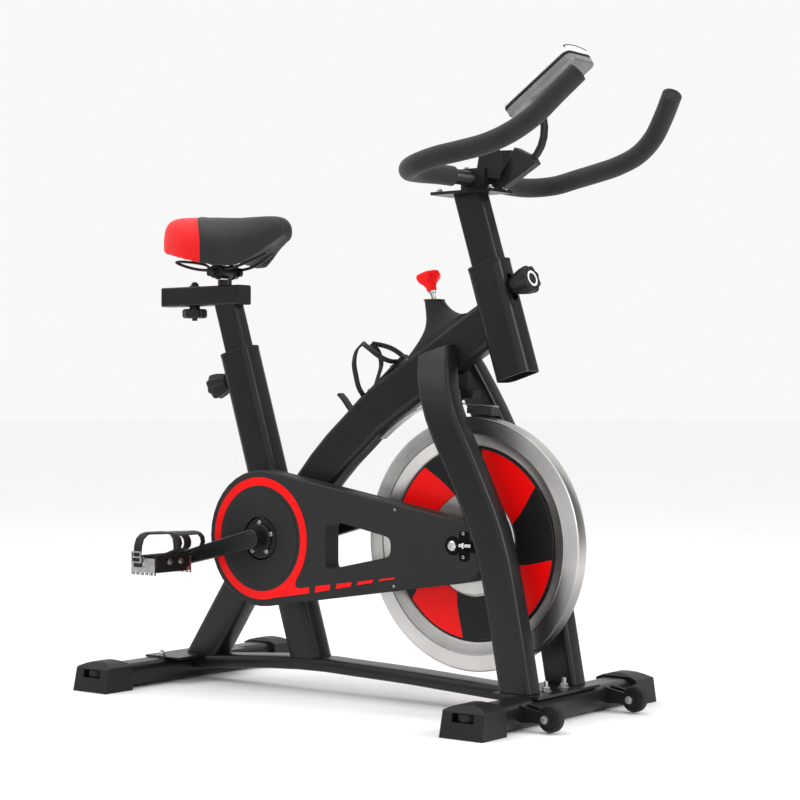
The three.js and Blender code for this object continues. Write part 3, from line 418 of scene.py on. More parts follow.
def smooth_path(points, steps=8):
    """A centripetal Catmull-Rom curve through the points, ends included."""
    given = [Vector(p) for p in points]
    given = [2 * given[0] - given[1]] + given + [2 * given[-1] - given[-2]]
    path = []
    for a, b, c, d in zip(given, given[1:], given[2:], given[3:]):
        knots = [0.0]
        for p, q in ((a, b), (b, c), (c, d)):
            knots.append(knots[-1] + math.sqrt((q - p).length))
        for i in range(steps):
            t = knots[1] + (knots[2] - knots[1]) * i / steps

            def mix(p, q, first, last):
                return p.lerp(q, (t - knots[first]) / (knots[last] - knots[first]))
            ab, bc, cd = mix(a, b, 0, 1), mix(b, c, 1, 2), mix(c, d, 2, 3)
            path.append(mix(mix(ab, bc, 0, 2), mix(bc, cd, 1, 3), 1, 2))
    return path + [given[-2]]


def circle(radius, sides=28):
    return [(radius * math.cos(2 * math.pi * i / sides), radius * math.sin(2 * math.pi * i / sides))
            for i in range(sides)]


def rounded_polygon(corners, radius, steps=6):
    """An outline with each corner replaced by a short curve that starts radius away from it."""
    outline = []
    for i, corner in enumerate(corners):
        here = Vector(corner)
        before = here + (Vector(corners[i - 1]) - here).normalized() * radius
        after = here + (Vector(corners[(i + 1) % len(corners)]) - here).normalized() * radius
        for k in range(steps + 1):
            t = k / steps
            outline.append(tuple(before.lerp(here, t).lerp(here.lerp(after, t), t)))
    return outline


def rounded_rect(width, height, corner, steps=6):
    w, h = width / 2, height / 2
    return rounded_polygon([(-w, -h), (w, -h), (w, h), (-w, h)], corner, steps)


def sweep(bm, path, section, side=None, closed=False):
    """Carries a section of (across, up) pairs along a path. side keeps the across direction fixed."""
    count = len(path)
    rings = []
    across = None
    for i, point in enumerate(path):
        ahead = path[(i + 1) % count] if closed else path[min(i + 1, count - 1)]
        behind = path[i - 1] if closed else path[max(i - 1, 0)]
        tangent = (ahead - behind).normalized()
        wanted = side or across or (ACROSS if abs(tangent.dot(ACROSS)) < 0.9 else UP)
        across = (wanted - tangent * wanted.dot(tangent)).normalized()
        up = across.cross(tangent)
        rings.append([bm.verts.new(point + across * u + up * v) for u, v in section])
    pairs = list(zip(rings, rings[1:]))
    if closed:
        pairs.append((rings[-1], rings[0]))
    else:
        bm.faces.new(rings[0])
        bm.faces.new(rings[-1])
    for first, second in pairs:
        join(bm, first, second)


def plate(bm, outline, at, thick):
    """A flat outline in local XY, given a thickness along local Z."""
    low = [bm.verts.new(at @ Vector((x, y, 0))) for x, y in outline]
    high = [bm.verts.new(at @ Vector((x, y, thick))) for x, y in outline]
    bm.faces.new(low)
    bm.faces.new(high)
    join(bm, low, high)


def hex_bolt(bm, at, axis, radius, height, stud=0.0):
    """A washer, a chamfered hexagon, and a threaded end standing past it if stud is given."""
    turned = place(at, axis)
    washer, thick = radius * 1.45, 1.2 * MM
    lathe(bm, [(0, 0), (washer, 0), (washer, thick), (0, thick)], turned, 28)
    top = thick + height
    inside, chamfer = thick * 0.5, radius * 0.12
    lathe(bm, [(0, inside), (radius, inside), (radius, top - chamfer), (radius * 0.86, top), (0, top)],
          turned, 6)
    if stud:
        end = top + stud
        lathe(bm, [(0, top * 0.5), (radius * 0.55, top * 0.5), (radius * 0.55, end - radius * 0.2),
                   (radius * 0.4, end), (0, end)], turned, 20)


def cap_screw(bm, at, axis, radius):
    """A round head with a hexagon socket."""
    turned = place(at, axis)
    height = radius * 0.8
    profile = [(0, -1), (1, -1), (1, 0.7), (0.82, 1), (0.52, 1), (0.5, 0.35), (0, 0.35)]
    lathe(bm, [(radius * r, height * h) for r, h in profile], turned, 24)


def piece(name, bm, surfaces, body, replaces=(), bevel=0.0, smooth=35, segments=2):
    """Turns a bmesh into a named object that rides on a body and can stand for CAD nodes."""
    bmesh.ops.recalc_face_normals(bm, faces=bm.faces)
    mesh = bpy.data.meshes.new(name)
    bm.to_mesh(mesh)
    bm.free()
    made = bpy.data.objects.new(name, mesh)
    bpy.context.scene.collection.objects.link(made)
    surfaces = surfaces if isinstance(surfaces, (list, tuple)) else [surfaces]
    for surface in surfaces:
        mesh.materials.append(surface)
    shade(made, smooth)
    if bevel:
        soften(made, bevel, segments, smooth)
    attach(made, body)
    if replaces:
        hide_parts(*replaces)
    return made


def shade(made, smooth):
    made.data.polygons.foreach_set("use_smooth", [True] * len(made.data.polygons))
    made.data.set_sharp_from_angle(angle=math.radians(smooth))


def soften(made, width, segments, angle):
    """Rounds every edge sharper than angle."""
    rounding = made.modifiers.new("rounded_edges", "BEVEL")
    rounding.width = width
    rounding.segments = segments
    rounding.limit_method = "ANGLE"
    rounding.angle_limit = math.radians(angle)
    rounding.harden_normals = True


def dress(node, surface, bevel, angle):
    """Keeps a CAD node as it is and gives it a material and rounded edges."""
    made = frame["nodes"][node]
    made.data.materials.clear()
    made.data.materials.append(surface)
    weld = made.modifiers.new("weld", "WELD")
    weld.merge_threshold = 0.01 * MM
    flat = made.modifiers.new("flat_faces", "DECIMATE")
    flat.decimate_type = "DISSOLVE"
    flat.angle_limit = math.radians(0.6)
    shade(made, 180)
    soften(made, bevel, 3, angle)
    even = made.modifiers.new("even_shading", "WEIGHTED_NORMAL")
    even.keep_sharp = False


# ---------------------------------------------------------------- frame tubes, stands and covers
END_CAPS = [f"end_cap_{end}_{side}" for end in ("front", "rear") for side, _ in SIDES]
# Surface, width in millimetres of the rounded edges, angle past which an edge is rounded, and the nodes.
KEPT_SHAPES = (
    (POWDER, 1.2, 50, ("base_rail", "rear_strut", "front_strut", "seat_tube", "main_beam", "head_tube",
                       "fork_leg_right", "fork_leg_left", "front_stabilizer", "rear_stabilizer")),
    (POWDER, 0.8, 40, ("seat_post", "seat_slider", "handlebar_post", "crank_arm_right", "crank_arm_left",
                       "crank_axle")),
    (PLASTIC, 0.7, 40, ("seat_post_sleeve", "handlebar_post_sleeve", "console_bracket")),
    (COVER, 0.6, 30, ("chain_cover_outer", "chain_cover_inner")),
    (PLASTIC, 2.2, 24, END_CAPS),
    (ZINC, 0.3, 40, ("chainring", "chain", "flywheel_sprocket", "brake_leaf")),
    (CHROME, 0.4, 40, ("brake_rod",)),
    (FELT, 0.8, 40, ("brake_pad",)),
)


def dress_frame():
    for surface, bevel, angle, nodes in KEPT_SHAPES:
        for node in nodes:
            dress(node, surface, bevel * MM, angle)


def frame_bolts():
    """Bolts that hold the tubes to the foot plate of each stabilizer."""
    bm = bmesh.new()
    for end, ahead, out, radius, height, stud in (("front", 2.6, 27, 6.5, 6, 9), ("rear", 7, 84, 6, 5, 4)):
        x = middle(f"end_cap_{end}_right").x + ahead * MM
        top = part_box(f"{end}_stabilizer")[1].z
        for side in (-1, 1):
            hex_bolt(bm, (x, side * out * MM, top), UP, radius * MM, height * MM, stud * MM)
    piece("foot_plate_bolts", bm, ZINC, "frame")


# ---------------------------------------------------------------- flywheel
RIM_FLAT = 185 * MM
RIM_WELL = 166 * MM
SECTORS = 8
SECTOR_START = math.radians(38)
SECTOR_TWIST = math.radians(14)


def flywheel():
    low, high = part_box("flywheel")
    radius = (high.x - low.x) / 2
    hub, boss, bore = 22 * MM, 86 * MM, 6.8 * MM
    rim, web, face = 13 * MM, 5 * MM, 9 * MM
    round_off = 2.5 * MM
    outer = [(bore, high.y), (hub - MM, high.y), (hub, high.y - MM), (hub, face),
             (boss - 1.5 * MM, face), (boss, face - 1.5 * MM), (boss, web), (RIM_WELL - 4 * MM, web),
             (RIM_WELL - MM, web + 2 * MM), (RIM_WELL + MM, web + 3.2 * MM), (RIM_FLAT - 1.5 * MM, rim - MM),
             (RIM_FLAT - 0.6 * MM, rim - 1.2 * MM), (RIM_FLAT + 0.4 * MM, rim)]
    for degrees in (0, 22.5, 45, 67.5, 90):
        a = math.radians(degrees)
        outer.append((radius - round_off * (1 - math.sin(a)), rim - round_off * (1 - math.cos(a))))
    inner = [(r, -y) for r, y in reversed(outer)]
    sprocket_boss, step = 16 * MM, -41 * MM
    inner[-2:] = [(sprocket_boss, step), (sprocket_boss, low.y), (bore, low.y)]
    bm = bmesh.new()
    lathe(bm, outer + inner, place(WHEEL, ACROSS, FORWARD), 180, closed=True)
    piece("flywheel_body", bm, STEEL, "flywheel_assembly", ["flywheel"], smooth=24)


def disc_insert(side_name, side):
    """A printed disc whose eight sectors, red and black in turn, lean back towards the hub."""
    node = f"disc_insert_{side_name}"
    low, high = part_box(node)
    near, far = (low.y, high.y) if side < 0 else (high.y, low.y)
    inner, outer = 88 * MM, 159.5 * MM
    rings, steps = 14, 10
    total = SECTORS * steps
    bm = bmesh.new()

    def lean_at(radius):
        """How far the sectors have turned back at that radius."""
        return SECTOR_TWIST * max(0.0, 1 - (radius - inner) / (outer - inner)) ** 1.25

    def ring(radius, y):
        points = []
        for k in range(total):
            angle = SECTOR_START - lean_at(radius) + 2 * math.pi * k / total
            spot = Vector((radius * math.cos(angle), y, radius * math.sin(angle)))
            points.append(bm.verts.new(WHEEL + spot))
        return points

    radii = [inner + (outer - inner) * i / rings for i in range(rings + 1)]
    faces = [ring(r, near) for r in radii] + [ring(outer, far), ring(inner, far)]
    for first, second in zip(faces, faces[1:] + faces[:1]):
        join(bm, first, second)
    for face in bm.faces:
        centre = face.calc_center_median() - WHEEL
        lean = lean_at(math.hypot(centre.x, centre.z))
        angle = (math.atan2(centre.z, centre.x) - SECTOR_START + lean) % (2 * math.pi)
        face.material_index = int(angle / (2 * math.pi / SECTORS) + 1) % 2
    piece(f"printed_disc_{side_name}", bm, [PRINT_BLACK, PRINT_RED], "flywheel_assembly", [node], smooth=30)
    # painted shade: a near-black ring just outside the printed disc stands in for the dark gap between disc and
    # rim
    edge = bmesh.new()
    start, end = outer + 0.2 * MM, outer + 3.2 * MM
    back, front = near - side * 1.2 * MM, near + side * 0.3 * MM
    lathe(edge, [(start, back), (end, back), (end, front), (start, front)],
          place(WHEEL, ACROSS, FORWARD), 128, closed=True)
    piece(f"disc_gap_shade_{side_name}", edge, RUBBER, "flywheel_assembly", smooth=30)


def wheel_axle():
    """The spindle, a domed socket nut outside each dropout, and the chain tensioner at the right."""
    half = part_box("flywheel_axle")[1].y
    face = 60.3 * MM
    nut = [(0, half - 3 * MM), (3 * MM, half - 3 * MM), (3.2 * MM, half), (5.5 * MM, half),
           (8.2 * MM, half - 2 * MM), (9.6 * MM, half - 4.8 * MM), (9.6 * MM, face + 1.6 * MM),
           (12.5 * MM, face + 1.4 * MM), (12.5 * MM, face), (6 * MM, face)]
    profile = nut + [(r, -y) for r, y in reversed(nut)]
    bm = bmesh.new()
    lathe(bm, profile, place(WHEEL, ACROSS, FORWARD), 40)
    for x, z in ((21, 21), (21, -18)):
        cap_screw(bm, WHEEL + Vector((x * MM, -half + 8.4 * MM, z * MM)), -ACROSS, 3 * MM)
    rod = place(WHEEL + Vector((14 * MM, -half + 5.5 * MM, MM)), FORWARD)
    lathe(bm, mm((0, 0), (3, 0), (3, 24), (0, 24)), rod, 20)
    lathe(bm, mm((0, 7), (5.4, 7), (5.4, 11), (0, 11)), rod, 6)
    piece("axle_and_nuts", bm, CHROME, "frame", ["flywheel_axle"], bevel=0.3 * MM)


# ---------------------------------------------------------------- chain cover trim and crank
RING = {"inner": 93.7 * MM, "outer": 108.5 * MM}
DASH = {"count": 4, "length": 33 * MM, "pitch": 47 * MM, "first": 128 * MM, "tall": 11 * MM, "slope": 0.167}
INLAY = 0.6 * MM
TAIL_LEAVES = math.radians(-38)


def cover_trim():
    """A red ring round the crank, with a tail that breaks up into dashes towards the wheel."""
    bm = bmesh.new()
    face = place(CRANK + Vector((0, COVER_FACE + 0.2 * MM, 0)), -ACROSS, FORWARD)
    lathe(bm, [(RING["inner"], 0), (RING["outer"], 0), (RING["outer"], INLAY), (RING["inner"], INLAY)],
          face, 160, closed=True)
    down = -UP.dot(face.to_3x3() @ Vector((0, 1, 0)))
    radius = RING["outer"]
    heading = math.atan(DASH["slope"])
    foot = Vector((radius * math.sin(heading), -radius * math.cos(heading)))

    def bar(outline, thick):
        """A flat shape given by distances forward of and above the crank."""
        plate(bm, [(x, -z * down) for x, z in outline], face, thick)

    def line(x, rise):
        """A point on the slanted line through the dashes, raised by rise."""
        return Vector((x, foot.y + DASH["tall"] / 2 + (x - foot.x) * DASH["slope"] + rise))

    tail = DASH["first"] - (DASH["pitch"] - DASH["length"])
    leave = Vector((math.cos(TAIL_LEAVES), math.sin(TAIL_LEAVES))) * radius
    meet = line(tail - 17 * MM, DASH["tall"] / 2)
    bend = line(leave.x - 10 * MM, DASH["tall"] / 2)
    fillet = [leave.lerp(bend, t / 8).lerp(bend.lerp(meet, t / 8), t / 8) for t in range(9)]
    under = [Vector((math.cos(angle), math.sin(angle))) * (radius - MM)
             for angle in [TAIL_LEAVES + (heading - math.pi / 2 - TAIL_LEAVES) * k / 10 for k in range(11)]]
    bar(under[::-1] + fillet + [line(tail, DASH["tall"] / 2), line(tail, -DASH["tall"] / 2)], INLAY * 0.8)
    for i in range(DASH["count"]):
        x0 = DASH["first"] + i * DASH["pitch"]
        x1 = x0 + DASH["length"]
        tall = DASH["tall"] * (1 - 0.24 * i)
        lean = 1.5 * MM
        bar([line(x0 - lean, -tall / 2), line(x1 - lean, -tall / 2 * 0.85), line(x1 + lean, tall / 2 * 0.85),
             line(x0 + lean, tall / 2)], INLAY)
    piece("cover_red_trim", bm, RED, "frame", smooth=30)

    disc = bmesh.new()
    profile = mm((41, 0), (84, 0), (86, 0.2), (86.6, 0.9), (85.6, 1.3), (83, 0.9), (42, 0.7), (40.5, 0.2))
    lathe(disc, profile, face, 128, closed=True)
    piece("cover_disc", disc, COVER, "frame", smooth=50)

    screws = bmesh.new()
    for x, z in ((303, 61), (301, -68)):
        cap_screw(screws, CRANK + Vector((x * MM, COVER_FACE - 0.2 * MM, z * MM)), -ACROSS, 2.6 * MM)
    piece("cover_screws", screws, ZINC, "frame", smooth=30)


def cover_tip():
    """The cover's skin over the dropout, and thin near-black plates of painted shade for the tensioner slot's
    recess beside the axle nut.
    """
    half, back, front, proud = 28.5 * MM, -29 * MM, 72 * MM, 0.12 * MM
    face = place(WHEEL + Vector((0, COVER_FACE - proud, 0)), -ACROSS, FORWARD)
    bm = bmesh.new()
    plate(bm, [(back, -half), (front, -half), (front, half), (back, half)], face, -MM)
    piece("cover_tip_skin", bm, COVER, "frame", smooth=30)
    # Painted shade: thin near-black plates and a disc round the axle stand in for the dark recess of the tensioner
    # slot.
    slot = bmesh.new()
    for (x, width, tall, thick) in ((23, 22, 50, 0.1), (46, 60, 20, 0.14)):
        outline = rounded_rect(width * MM, tall * MM, 8 * MM)
        plate(slot, outline, face @ shift(x, 0, 0), thick * MM)
    lathe(slot, mm((0, 0), (16, 0), (16, 0.18), (0, 0.18)), face, 64)
    piece("tensioner_slot_shade", slot, RECESS_SHADE, "frame", smooth=30)


def crank_details():
    bm = bmesh.new()
    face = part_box("crank_axle")[0].y
    spider, bolt_circle = -61.5 * MM, 28 * MM
    for i in range(5):
        angle = 2 * math.pi * (i + 0.25) / 5
        spot = Vector((bolt_circle * math.cos(angle), spider - MM, bolt_circle * math.sin(angle)))
        cap_screw(bm, CRANK + spot, -ACROSS, 4.2 * MM)
    piece("crank_bolts", bm, ZINC, "crankset", smooth=30)
    caps = bmesh.new()
    for side in (-1, 1):
        at = place(CRANK + ACROSS * side * (abs(face) - MM), ACROSS * side, FORWARD)
        lathe(caps, mm((0, 0), (11, 0), (11.5, 2.4), (9.6, 4), (6, 4.2), (5.4, 3.4), (0, 3.4)), at, 48)
    piece("crank_dust_caps", caps, PLASTIC, "crankset", smooth=30)

    ring = bmesh.new()
    lathe(ring, mm((0, 0), (24, 0), (26, 2), (26, 5), (0, 5)),
          place(CRANK + ACROSS * (spider - 5.2 * MM), ACROSS, FORWARD), 60)
    piece("spider_cap", ring, PLASTIC, "crankset", bevel=0.5 * MM)


# ---------------------------------------------------------------- pedals
def pedal(side_name, side):
    body = f"pedal_{side_name}"
    low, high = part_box(f"pedal_cage_{side_name}")
    outer = high.y if side > 0 else low.y
    centre = Vector(JOINT[f"{body}_spin"]["pos_m"])
    front = high.x
    dress(f"pedal_body_{side_name}", PLASTIC, 0.6 * MM, 40)
    dress(f"pedal_cage_{side_name}", ZINC, 0.5 * MM, 40)
    dress(f"toe_clip_{side_name}", PLASTIC, 0.5 * MM, 40)

    bm = bmesh.new()
    for y in (0.35, 0.65):
        across = low.y + (high.y - low.y) * y
        hex_bolt(bm, (front + 4.5 * MM, across, centre.z - MM), FORWARD, 4.2 * MM, 2.6 * MM)
    end_cap = place((centre.x, outer, centre.z), ACROSS * side)
    lathe(bm, mm((0, -4), (9, -4), (9, 0.8), (7, 1.8), (0, 1.8)), end_cap, 32)
    piece(f"pedal_screws_{side_name}", bm, ZINC, body, smooth=30)

    cover = bmesh.new()
    width = (high.y - low.y) * 0.82
    at = place((front + 3.4 * MM, outer - side * width / 2, centre.z - 4.5 * MM), FORWARD, ACROSS)
    plate(cover, rounded_rect(width, 29 * MM, 2 * MM, 3), at, 1.2 * MM)
    piece(f"toe_clip_plate_{side_name}", cover, PLASTIC, body, bevel=0.4 * MM)

    reach, rise = (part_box(f"toe_clip_{side_name}")[1][k] - centre[k] - 1.5 * MM for k in (0, 2))
    ahead = front - centre.x
    path = [(ahead + 2 * MM, 4 * MM), (ahead + 5 * MM, 11 * MM), (reach - 26 * MM, 17 * MM),
            (reach - 4 * MM, 26 * MM), (reach - MM, 36 * MM), (reach - 6 * MM, rise - 6 * MM),
            (reach - 18 * MM, rise - MM)]
    web = bmesh.new()
    sweep(web, smooth_path([(centre.x + x, outer - side * 40 * MM, centre.z + z) for x, z in path], 5),
          rounded_rect(17 * MM, 2.6 * MM, 0.8 * MM, 2), side=ACROSS)
    piece(f"toe_clip_web_{side_name}", web, PLASTIC, body, smooth=40)

    tread = bmesh.new()
    for x in (-13 * MM, 13 * MM):
        ribs = 9
        for i in range(ribs):
            y = low.y + (high.y - low.y) * (0.14 + 0.72 * i / (ribs - 1))
            plate(tread, rounded_rect(8 * MM, 3.4 * MM, MM, 3),
                  place((centre.x + x, y, centre.z + 7.6 * MM), UP, FORWARD), 1.6 * MM)
    piece(f"pedal_tread_{side_name}", tread, PLASTIC, body, smooth=30)

    buckle = bmesh.new()
    at = Vector((centre.x - 8 * MM, outer + side * 5.2 * MM, centre.z + 8 * MM))
    frame_of = place(at, ACROSS * side, FORWARD)
    for x in (-10.5, 10.5):
        plate(buckle, rounded_rect(2.4 * MM, 20 * MM, 0.8 * MM, 2), frame_of @ shift(x, 0, -1), 3 * MM)
    for y in (-9, 0, 9):
        plate(buckle, rounded_rect(21 * MM, 2.4 * MM, 0.8 * MM, 2), frame_of @ shift(0, y, -1), 3 * MM)
    piece(f"strap_buckle_{side_name}", buckle, ZINC, body, bevel=0.3 * MM)


# ---------------------------------------------------------------- feet and transport wheels
def levelling_wheel(end, side_name):
    node = f"levelling_wheel_{end}_{side_name}"
    low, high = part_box(node)
    centre = middle(node)
    radius = (high.x - low.x) / 2
    at = place((centre.x, centre.y, 0), UP, FORWARD)
    wheel_low, foot_top = 26 * MM, low.z + 4 * MM
    bm = bmesh.new()
    lathe(bm, chamfered(radius, wheel_low, high.z, 2 * MM), at, 120,
          flutes=20, depth=0.09, fluted_from=radius * 0.95)
    lathe(bm, [(0, foot_top), (4 * MM, foot_top), (4 * MM, wheel_low), (0, wheel_low)], at, 20)
    lathe(bm, [(0, low.z), (9 * MM, low.z), (10 * MM, low.z + MM), (10 * MM, foot_top),
               (0, foot_top + 0.2 * MM)], at, 40)
    piece(f"leveller_{end}_{side_name}", bm, RUBBER, BODY_OF[node], [node], smooth=40)


def transport_wheel(side_name):
    node = f"transport_wheel_{side_name}"
    low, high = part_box(node)
    centre = middle(node)
    radius, half = (high.x - low.x) / 2, (high.y - low.y) / 2
    groove = -half + 1.5 * MM
    profile = [(5 * MM, -half), (9 * MM, -half), (10 * MM, groove), (radius - 6 * MM, groove),
               (radius - 5 * MM, -half), (radius - 2.5 * MM, -half), (radius, -half + 2.5 * MM)]
    profile += [(r, -y) for r, y in reversed(profile)]
    bm = bmesh.new()
    lathe(bm, profile, place(centre, ACROSS, FORWARD), 64, closed=True)
    piece(f"transport_roller_{side_name}", bm, RUBBER, BODY_OF[node], [node], smooth=30)
    bolts = bmesh.new()
    for out in (-1, 1):
        hex_bolt(bolts, centre + ACROSS * out * 18.6 * MM, ACROSS * out, 4.6 * MM, 2.6 * MM)
    piece(f"transport_bolts_{side_name}", bolts, ZINC, "frame", smooth=30)


# ---------------------------------------------------------------- posts and knobs
KNOB = {"radius": 24 * MM, "length": 38 * MM, "stem": 8 * MM, "stand_off": 10 * MM, "recess": 1.2 * MM}


def pull_knob(name, node, start, way, ringed):
    """A lobed pull knob on a stem, with a recessed face and, if ringed, a white ring on it."""
    radius, length, stem = KNOB["radius"], KNOB["length"], KNOB["stem"]
    neck = KNOB["stand_off"]
    face = neck + length
    floor = face - KNOB["recess"]
    at = place(start, way)
    bm = bmesh.new()
    lathe(bm, [(0, -8 * MM), (4.6 * MM, -8 * MM), (4.6 * MM, -3 * MM), (stem, -3 * MM), (stem, neck - 4 * MM),
               (stem + 3 * MM, neck - 3 * MM), (stem + 4 * MM, neck), (0, neck)], at, 40)
    head = [(0, neck - 2 * MM), (radius * 0.5, neck - 2 * MM), (radius * 0.62, neck),
            (radius * 0.78, neck + length * 0.2), (radius * 0.93, neck + length * 0.5),
            (radius, face - 8 * MM), (radius, face - 4 * MM), (radius * 0.95, floor),
            (radius * 0.86, face), (radius * 0.66, face), (radius * 0.62, floor), (0, floor)]
    lathe(bm, head, at, 144, flutes=8, depth=0.13, fluted_from=radius * 0.75)
    piece(name, bm, PLASTIC, BODY_OF[node], [node], smooth=28)
    if ringed:
        ring = bmesh.new()
        inner, outer, top = radius * 0.4, radius * 0.56, floor + 0.5 * MM
        lathe(ring, [(inner, floor), (outer, floor), (outer, top), (inner, top)], at, 64, closed=True)
        piece(f"{name}_ring", ring, WHITE, BODY_OF[node], smooth=30)


def post_knobs():
    tube_half = 24.5 * MM
    for name, node, slide, pull, height, gap, ringed in (
            ("head_pull_knob", "handlebar_post_knob", "handlebar_height", "bar_pin_pull", 0.694, 3.6, True),
            ("seat_pull_knob", "seat_post_knob", "seat_height", "seat_pin_pull", 0.563, 7, False)):
        way = axis_of(pull)
        pull_knob(name, node, on_axis(slide, height) + way * (tube_half + gap * MM), way, ringed)


def post_holes():
    """Height holes down the front of the handlebar post and the back of the seat post, drawn as thin near-black
    discs of painted shade.
    """
    for name, post, slide, pull, depth, heights in (
            ("bar_post_hole_shade", "handlebar_post", "handlebar_height", "bar_pin_pull", 16, (770, 801, 832)),
            ("seat_post_hole_shade", "seat_post", "seat_height", "seat_pin_pull", 15, (626, 652, 678))):
        bm = bmesh.new()
        way = axis_of(pull)
        # Painted shade: each hole is a thin near-black disc laid on the post rather than a cut.
        for height in heights:
            at = place(on_axis(slide, height * MM) + way * (depth - 0.3) * MM, way)
            lathe(bm, mm((0, 0.2), (5, 0.2), (5.2, 0.55), (6.2, 0.5), (6.4, 0)), at, 36)
        piece(name, bm, RECESS_SHADE, BODY_OF[post], smooth=30)


def slider_knob():
    node = "slider_knob"
    low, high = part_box(node)
    centre = middle(node)
    at = place((centre.x, 0, 0), UP, FORWARD)
    radius, top = 23.5 * MM, low.z + 17 * MM
    bm = bmesh.new()
    lathe(bm, chamfered(radius, low.z, top, 3 * MM), at, 96, flutes=6, depth=0.16, fluted_from=radius * 0.8)
    lathe(bm, [(0, top - MM), (10 * MM, top - MM), (10 * MM, high.z), (0, high.z)], at, 40)
    piece("slide_lock_knob", bm, PLASTIC, BODY_OF[node], [node], smooth=32)
    rail_top = 727 * MM
    nut = bmesh.new()
    hex_bolt(nut, (centre.x, 0, rail_top + 0.5 * MM), UP, 7.5 * MM, 4.6 * MM)
    piece("slide_lock_nut", nut, POWDER, "seat_slide", smooth=30)
    plug = bmesh.new()
    for x, way in ((-318, 1), (-511, -1)):
        at = place((x * MM - way * 2.5 * MM, 0, 709 * MM), FORWARD * way)
        plate(plug, rounded_rect(34 * MM, 34 * MM, 3 * MM), at, 3.2 * MM)
    piece("seat_rail_plugs", plug, PLASTIC, "seat_mast", bevel=0.8 * MM)


# ---------------------------------------------------------------- brake
def brake_knob():
    node = "brake_knob"
    way = -axis_of("brake_push")
    at = place(Vector(JOINT["brake_push"]["pos_m"]), way)
    bm = bmesh.new()
    profile = mm((0, 16), (8, 16), (8.6, 18), (9, 23), (11.5, 27.5), (16, 31.5), (20, 35), (22, 39),
                 (22.2, 43.5), (20.6, 46.6), (16, 48.4), (9, 49.2), (0, 49.6))
    lathe(bm, profile, at, 120, flutes=6, depth=0.12, fluted_from=12 * MM)
    piece("red_brake_knob", bm, RED, BODY_OF[node], [node], smooth=50)
    collar = bmesh.new()
    lathe(collar, mm((5, 11), (6.6, 11), (6.6, 15.8), (5, 15.8)), at, 40, closed=True)
    piece("brake_knob_collar", collar, CHROME, "brake_plunger", bevel=0.4 * MM)


BOOT = {"top_x": 17 * MM, "top_y": 13 * MM, "foot_y": 19.5 * MM, "foot_z": 620 * MM, "slope": 0.62,
        "front_flare": 52 * MM, "waist": 14 * MM, "rear_flare": 50 * MM}


def brake_boot():
    """The flared moulding that seats the brake rod on the beam, with a bead round its top."""
    top = Vector(JOINT["brake_push"]["pos_m"])
    levels, sides = 30, 64
    bm = bmesh.new()

    def ring(t, grow, sunk=0.0):
        drop = max(0.0, 1 - t)
        front = BOOT["top_x"] + BOOT["front_flare"] * drop ** 1.1 + grow
        rear = BOOT["top_x"] - BOOT["waist"] * drop + BOOT["rear_flare"] * drop ** 5 + grow
        half_y = BOOT["top_y"] + (BOOT["foot_y"] - BOOT["top_y"]) * drop ** 1.8 + grow
        points = []
        for i in range(sides):
            angle = 2 * math.pi * i / sides
            along = (front if math.cos(angle) > 0 else rear) * signed_power(math.cos(angle), 0.85)
            across = half_y * signed_power(math.sin(angle), 0.7)
            z = BOOT["foot_z"] + (top.z - BOOT["foot_z"]) * t + along * BOOT["slope"] * (1 - t)
            points.append(bm.verts.new((top.x + along, across, z - sunk)))
        return points

    rings = [ring(0, 0, 25 * MM)] + [ring(i / levels, 0) for i in range(levels)]
    bead = ((0.985, 1.5), (1.0, 1.5), (1.012, 0.6), (1.012, -4), (0.97, -6))
    rings += [ring(t, grow * MM) for t, grow in bead]
    for first, second in zip(rings, rings[1:]):
        join(bm, first, second)
    bm.faces.new(rings[0])
    bm.faces.new(rings[-1])
    piece("brake_boot", bm, PLASTIC, "frame", ["brake_housing"], smooth=40)


def brake_bracket():
    """The bracket on the beam and the ribbed holder that carries the pad."""
    bm = bmesh.new()
    foot = (167, 547, 14, 28, 26, 2)
    holder = (190, 527.5, 26, 10, 24, 2)
    ribs = [(179.5 + 4.2 * i, 526.5, 2, 14, 27, 0.8) for i in range(6)]
    for x, z, length, tall, width, corner in [foot, holder] + ribs:
        outline = rounded_rect(length * MM, tall * MM, corner * MM, 3)
        plate(bm, outline, place(Vector((x, -width / 2, z)) * MM, ACROSS, FORWARD), width * MM)
    piece("brake_bracket", bm, PLASTIC, "frame", bevel=0.5 * MM)


# ---------------------------------------------------------------- bottle cage
CAGE = {"at": Vector((-0.028, 0, 0.524)), "tilt": math.radians(39.7)}
CAGE_ARM = [(-4, 8, 2), (6, 22, 14), (19, 31, 28), (35, 38, 45), (48, 30, 62), (56, 13, 71), (64, 24, 62),
            (73, 33, 46), (82, 34, 20), (86, 20, 6), (90, 8, 2)]


def bottle_cage():
    """A strip along the beam with an arm each side that wraps round the bottle and comes back."""
    bm = bmesh.new()
    along = Vector((math.cos(CAGE["tilt"]), 0, math.sin(CAGE["tilt"])))
    away = Vector((-math.sin(CAGE["tilt"]), 0, math.cos(CAGE["tilt"])))

    def at(u, v, w):
        return CAGE["at"] + along * u * MM + ACROSS * v * MM + away * w * MM

    for side in (-1, 1):
        arm = [at(u, side * v, w) for u, v, w in CAGE_ARM]
        sweep(bm, smooth_path(arm), rounded_rect(9 * MM, 4 * MM, 1.8 * MM, 4), side=along)
    sweep(bm, [at(-50, 0, 1.5), at(106, 0, 1.5)], rounded_rect(16 * MM, 6 * MM, 2 * MM, 4), side=ACROSS)
    stop = [at(-45, 0, -2), at(-45, 0, 30), at(-47, 0, 43)]
    sweep(bm, stop, rounded_rect(17 * MM, 5 * MM, 2 * MM, 4), side=ACROSS)
    piece("bottle_holder", bm, PLASTIC, "frame", ["bottle_cage"], bevel=0.5 * MM)
    screws = bmesh.new()
    for u in (8, 72):
        cap_screw(screws, at(u, 0, 5), away, 4.2 * MM)
    piece("bottle_cage_screws", screws, ZINC, "frame", smooth=30)


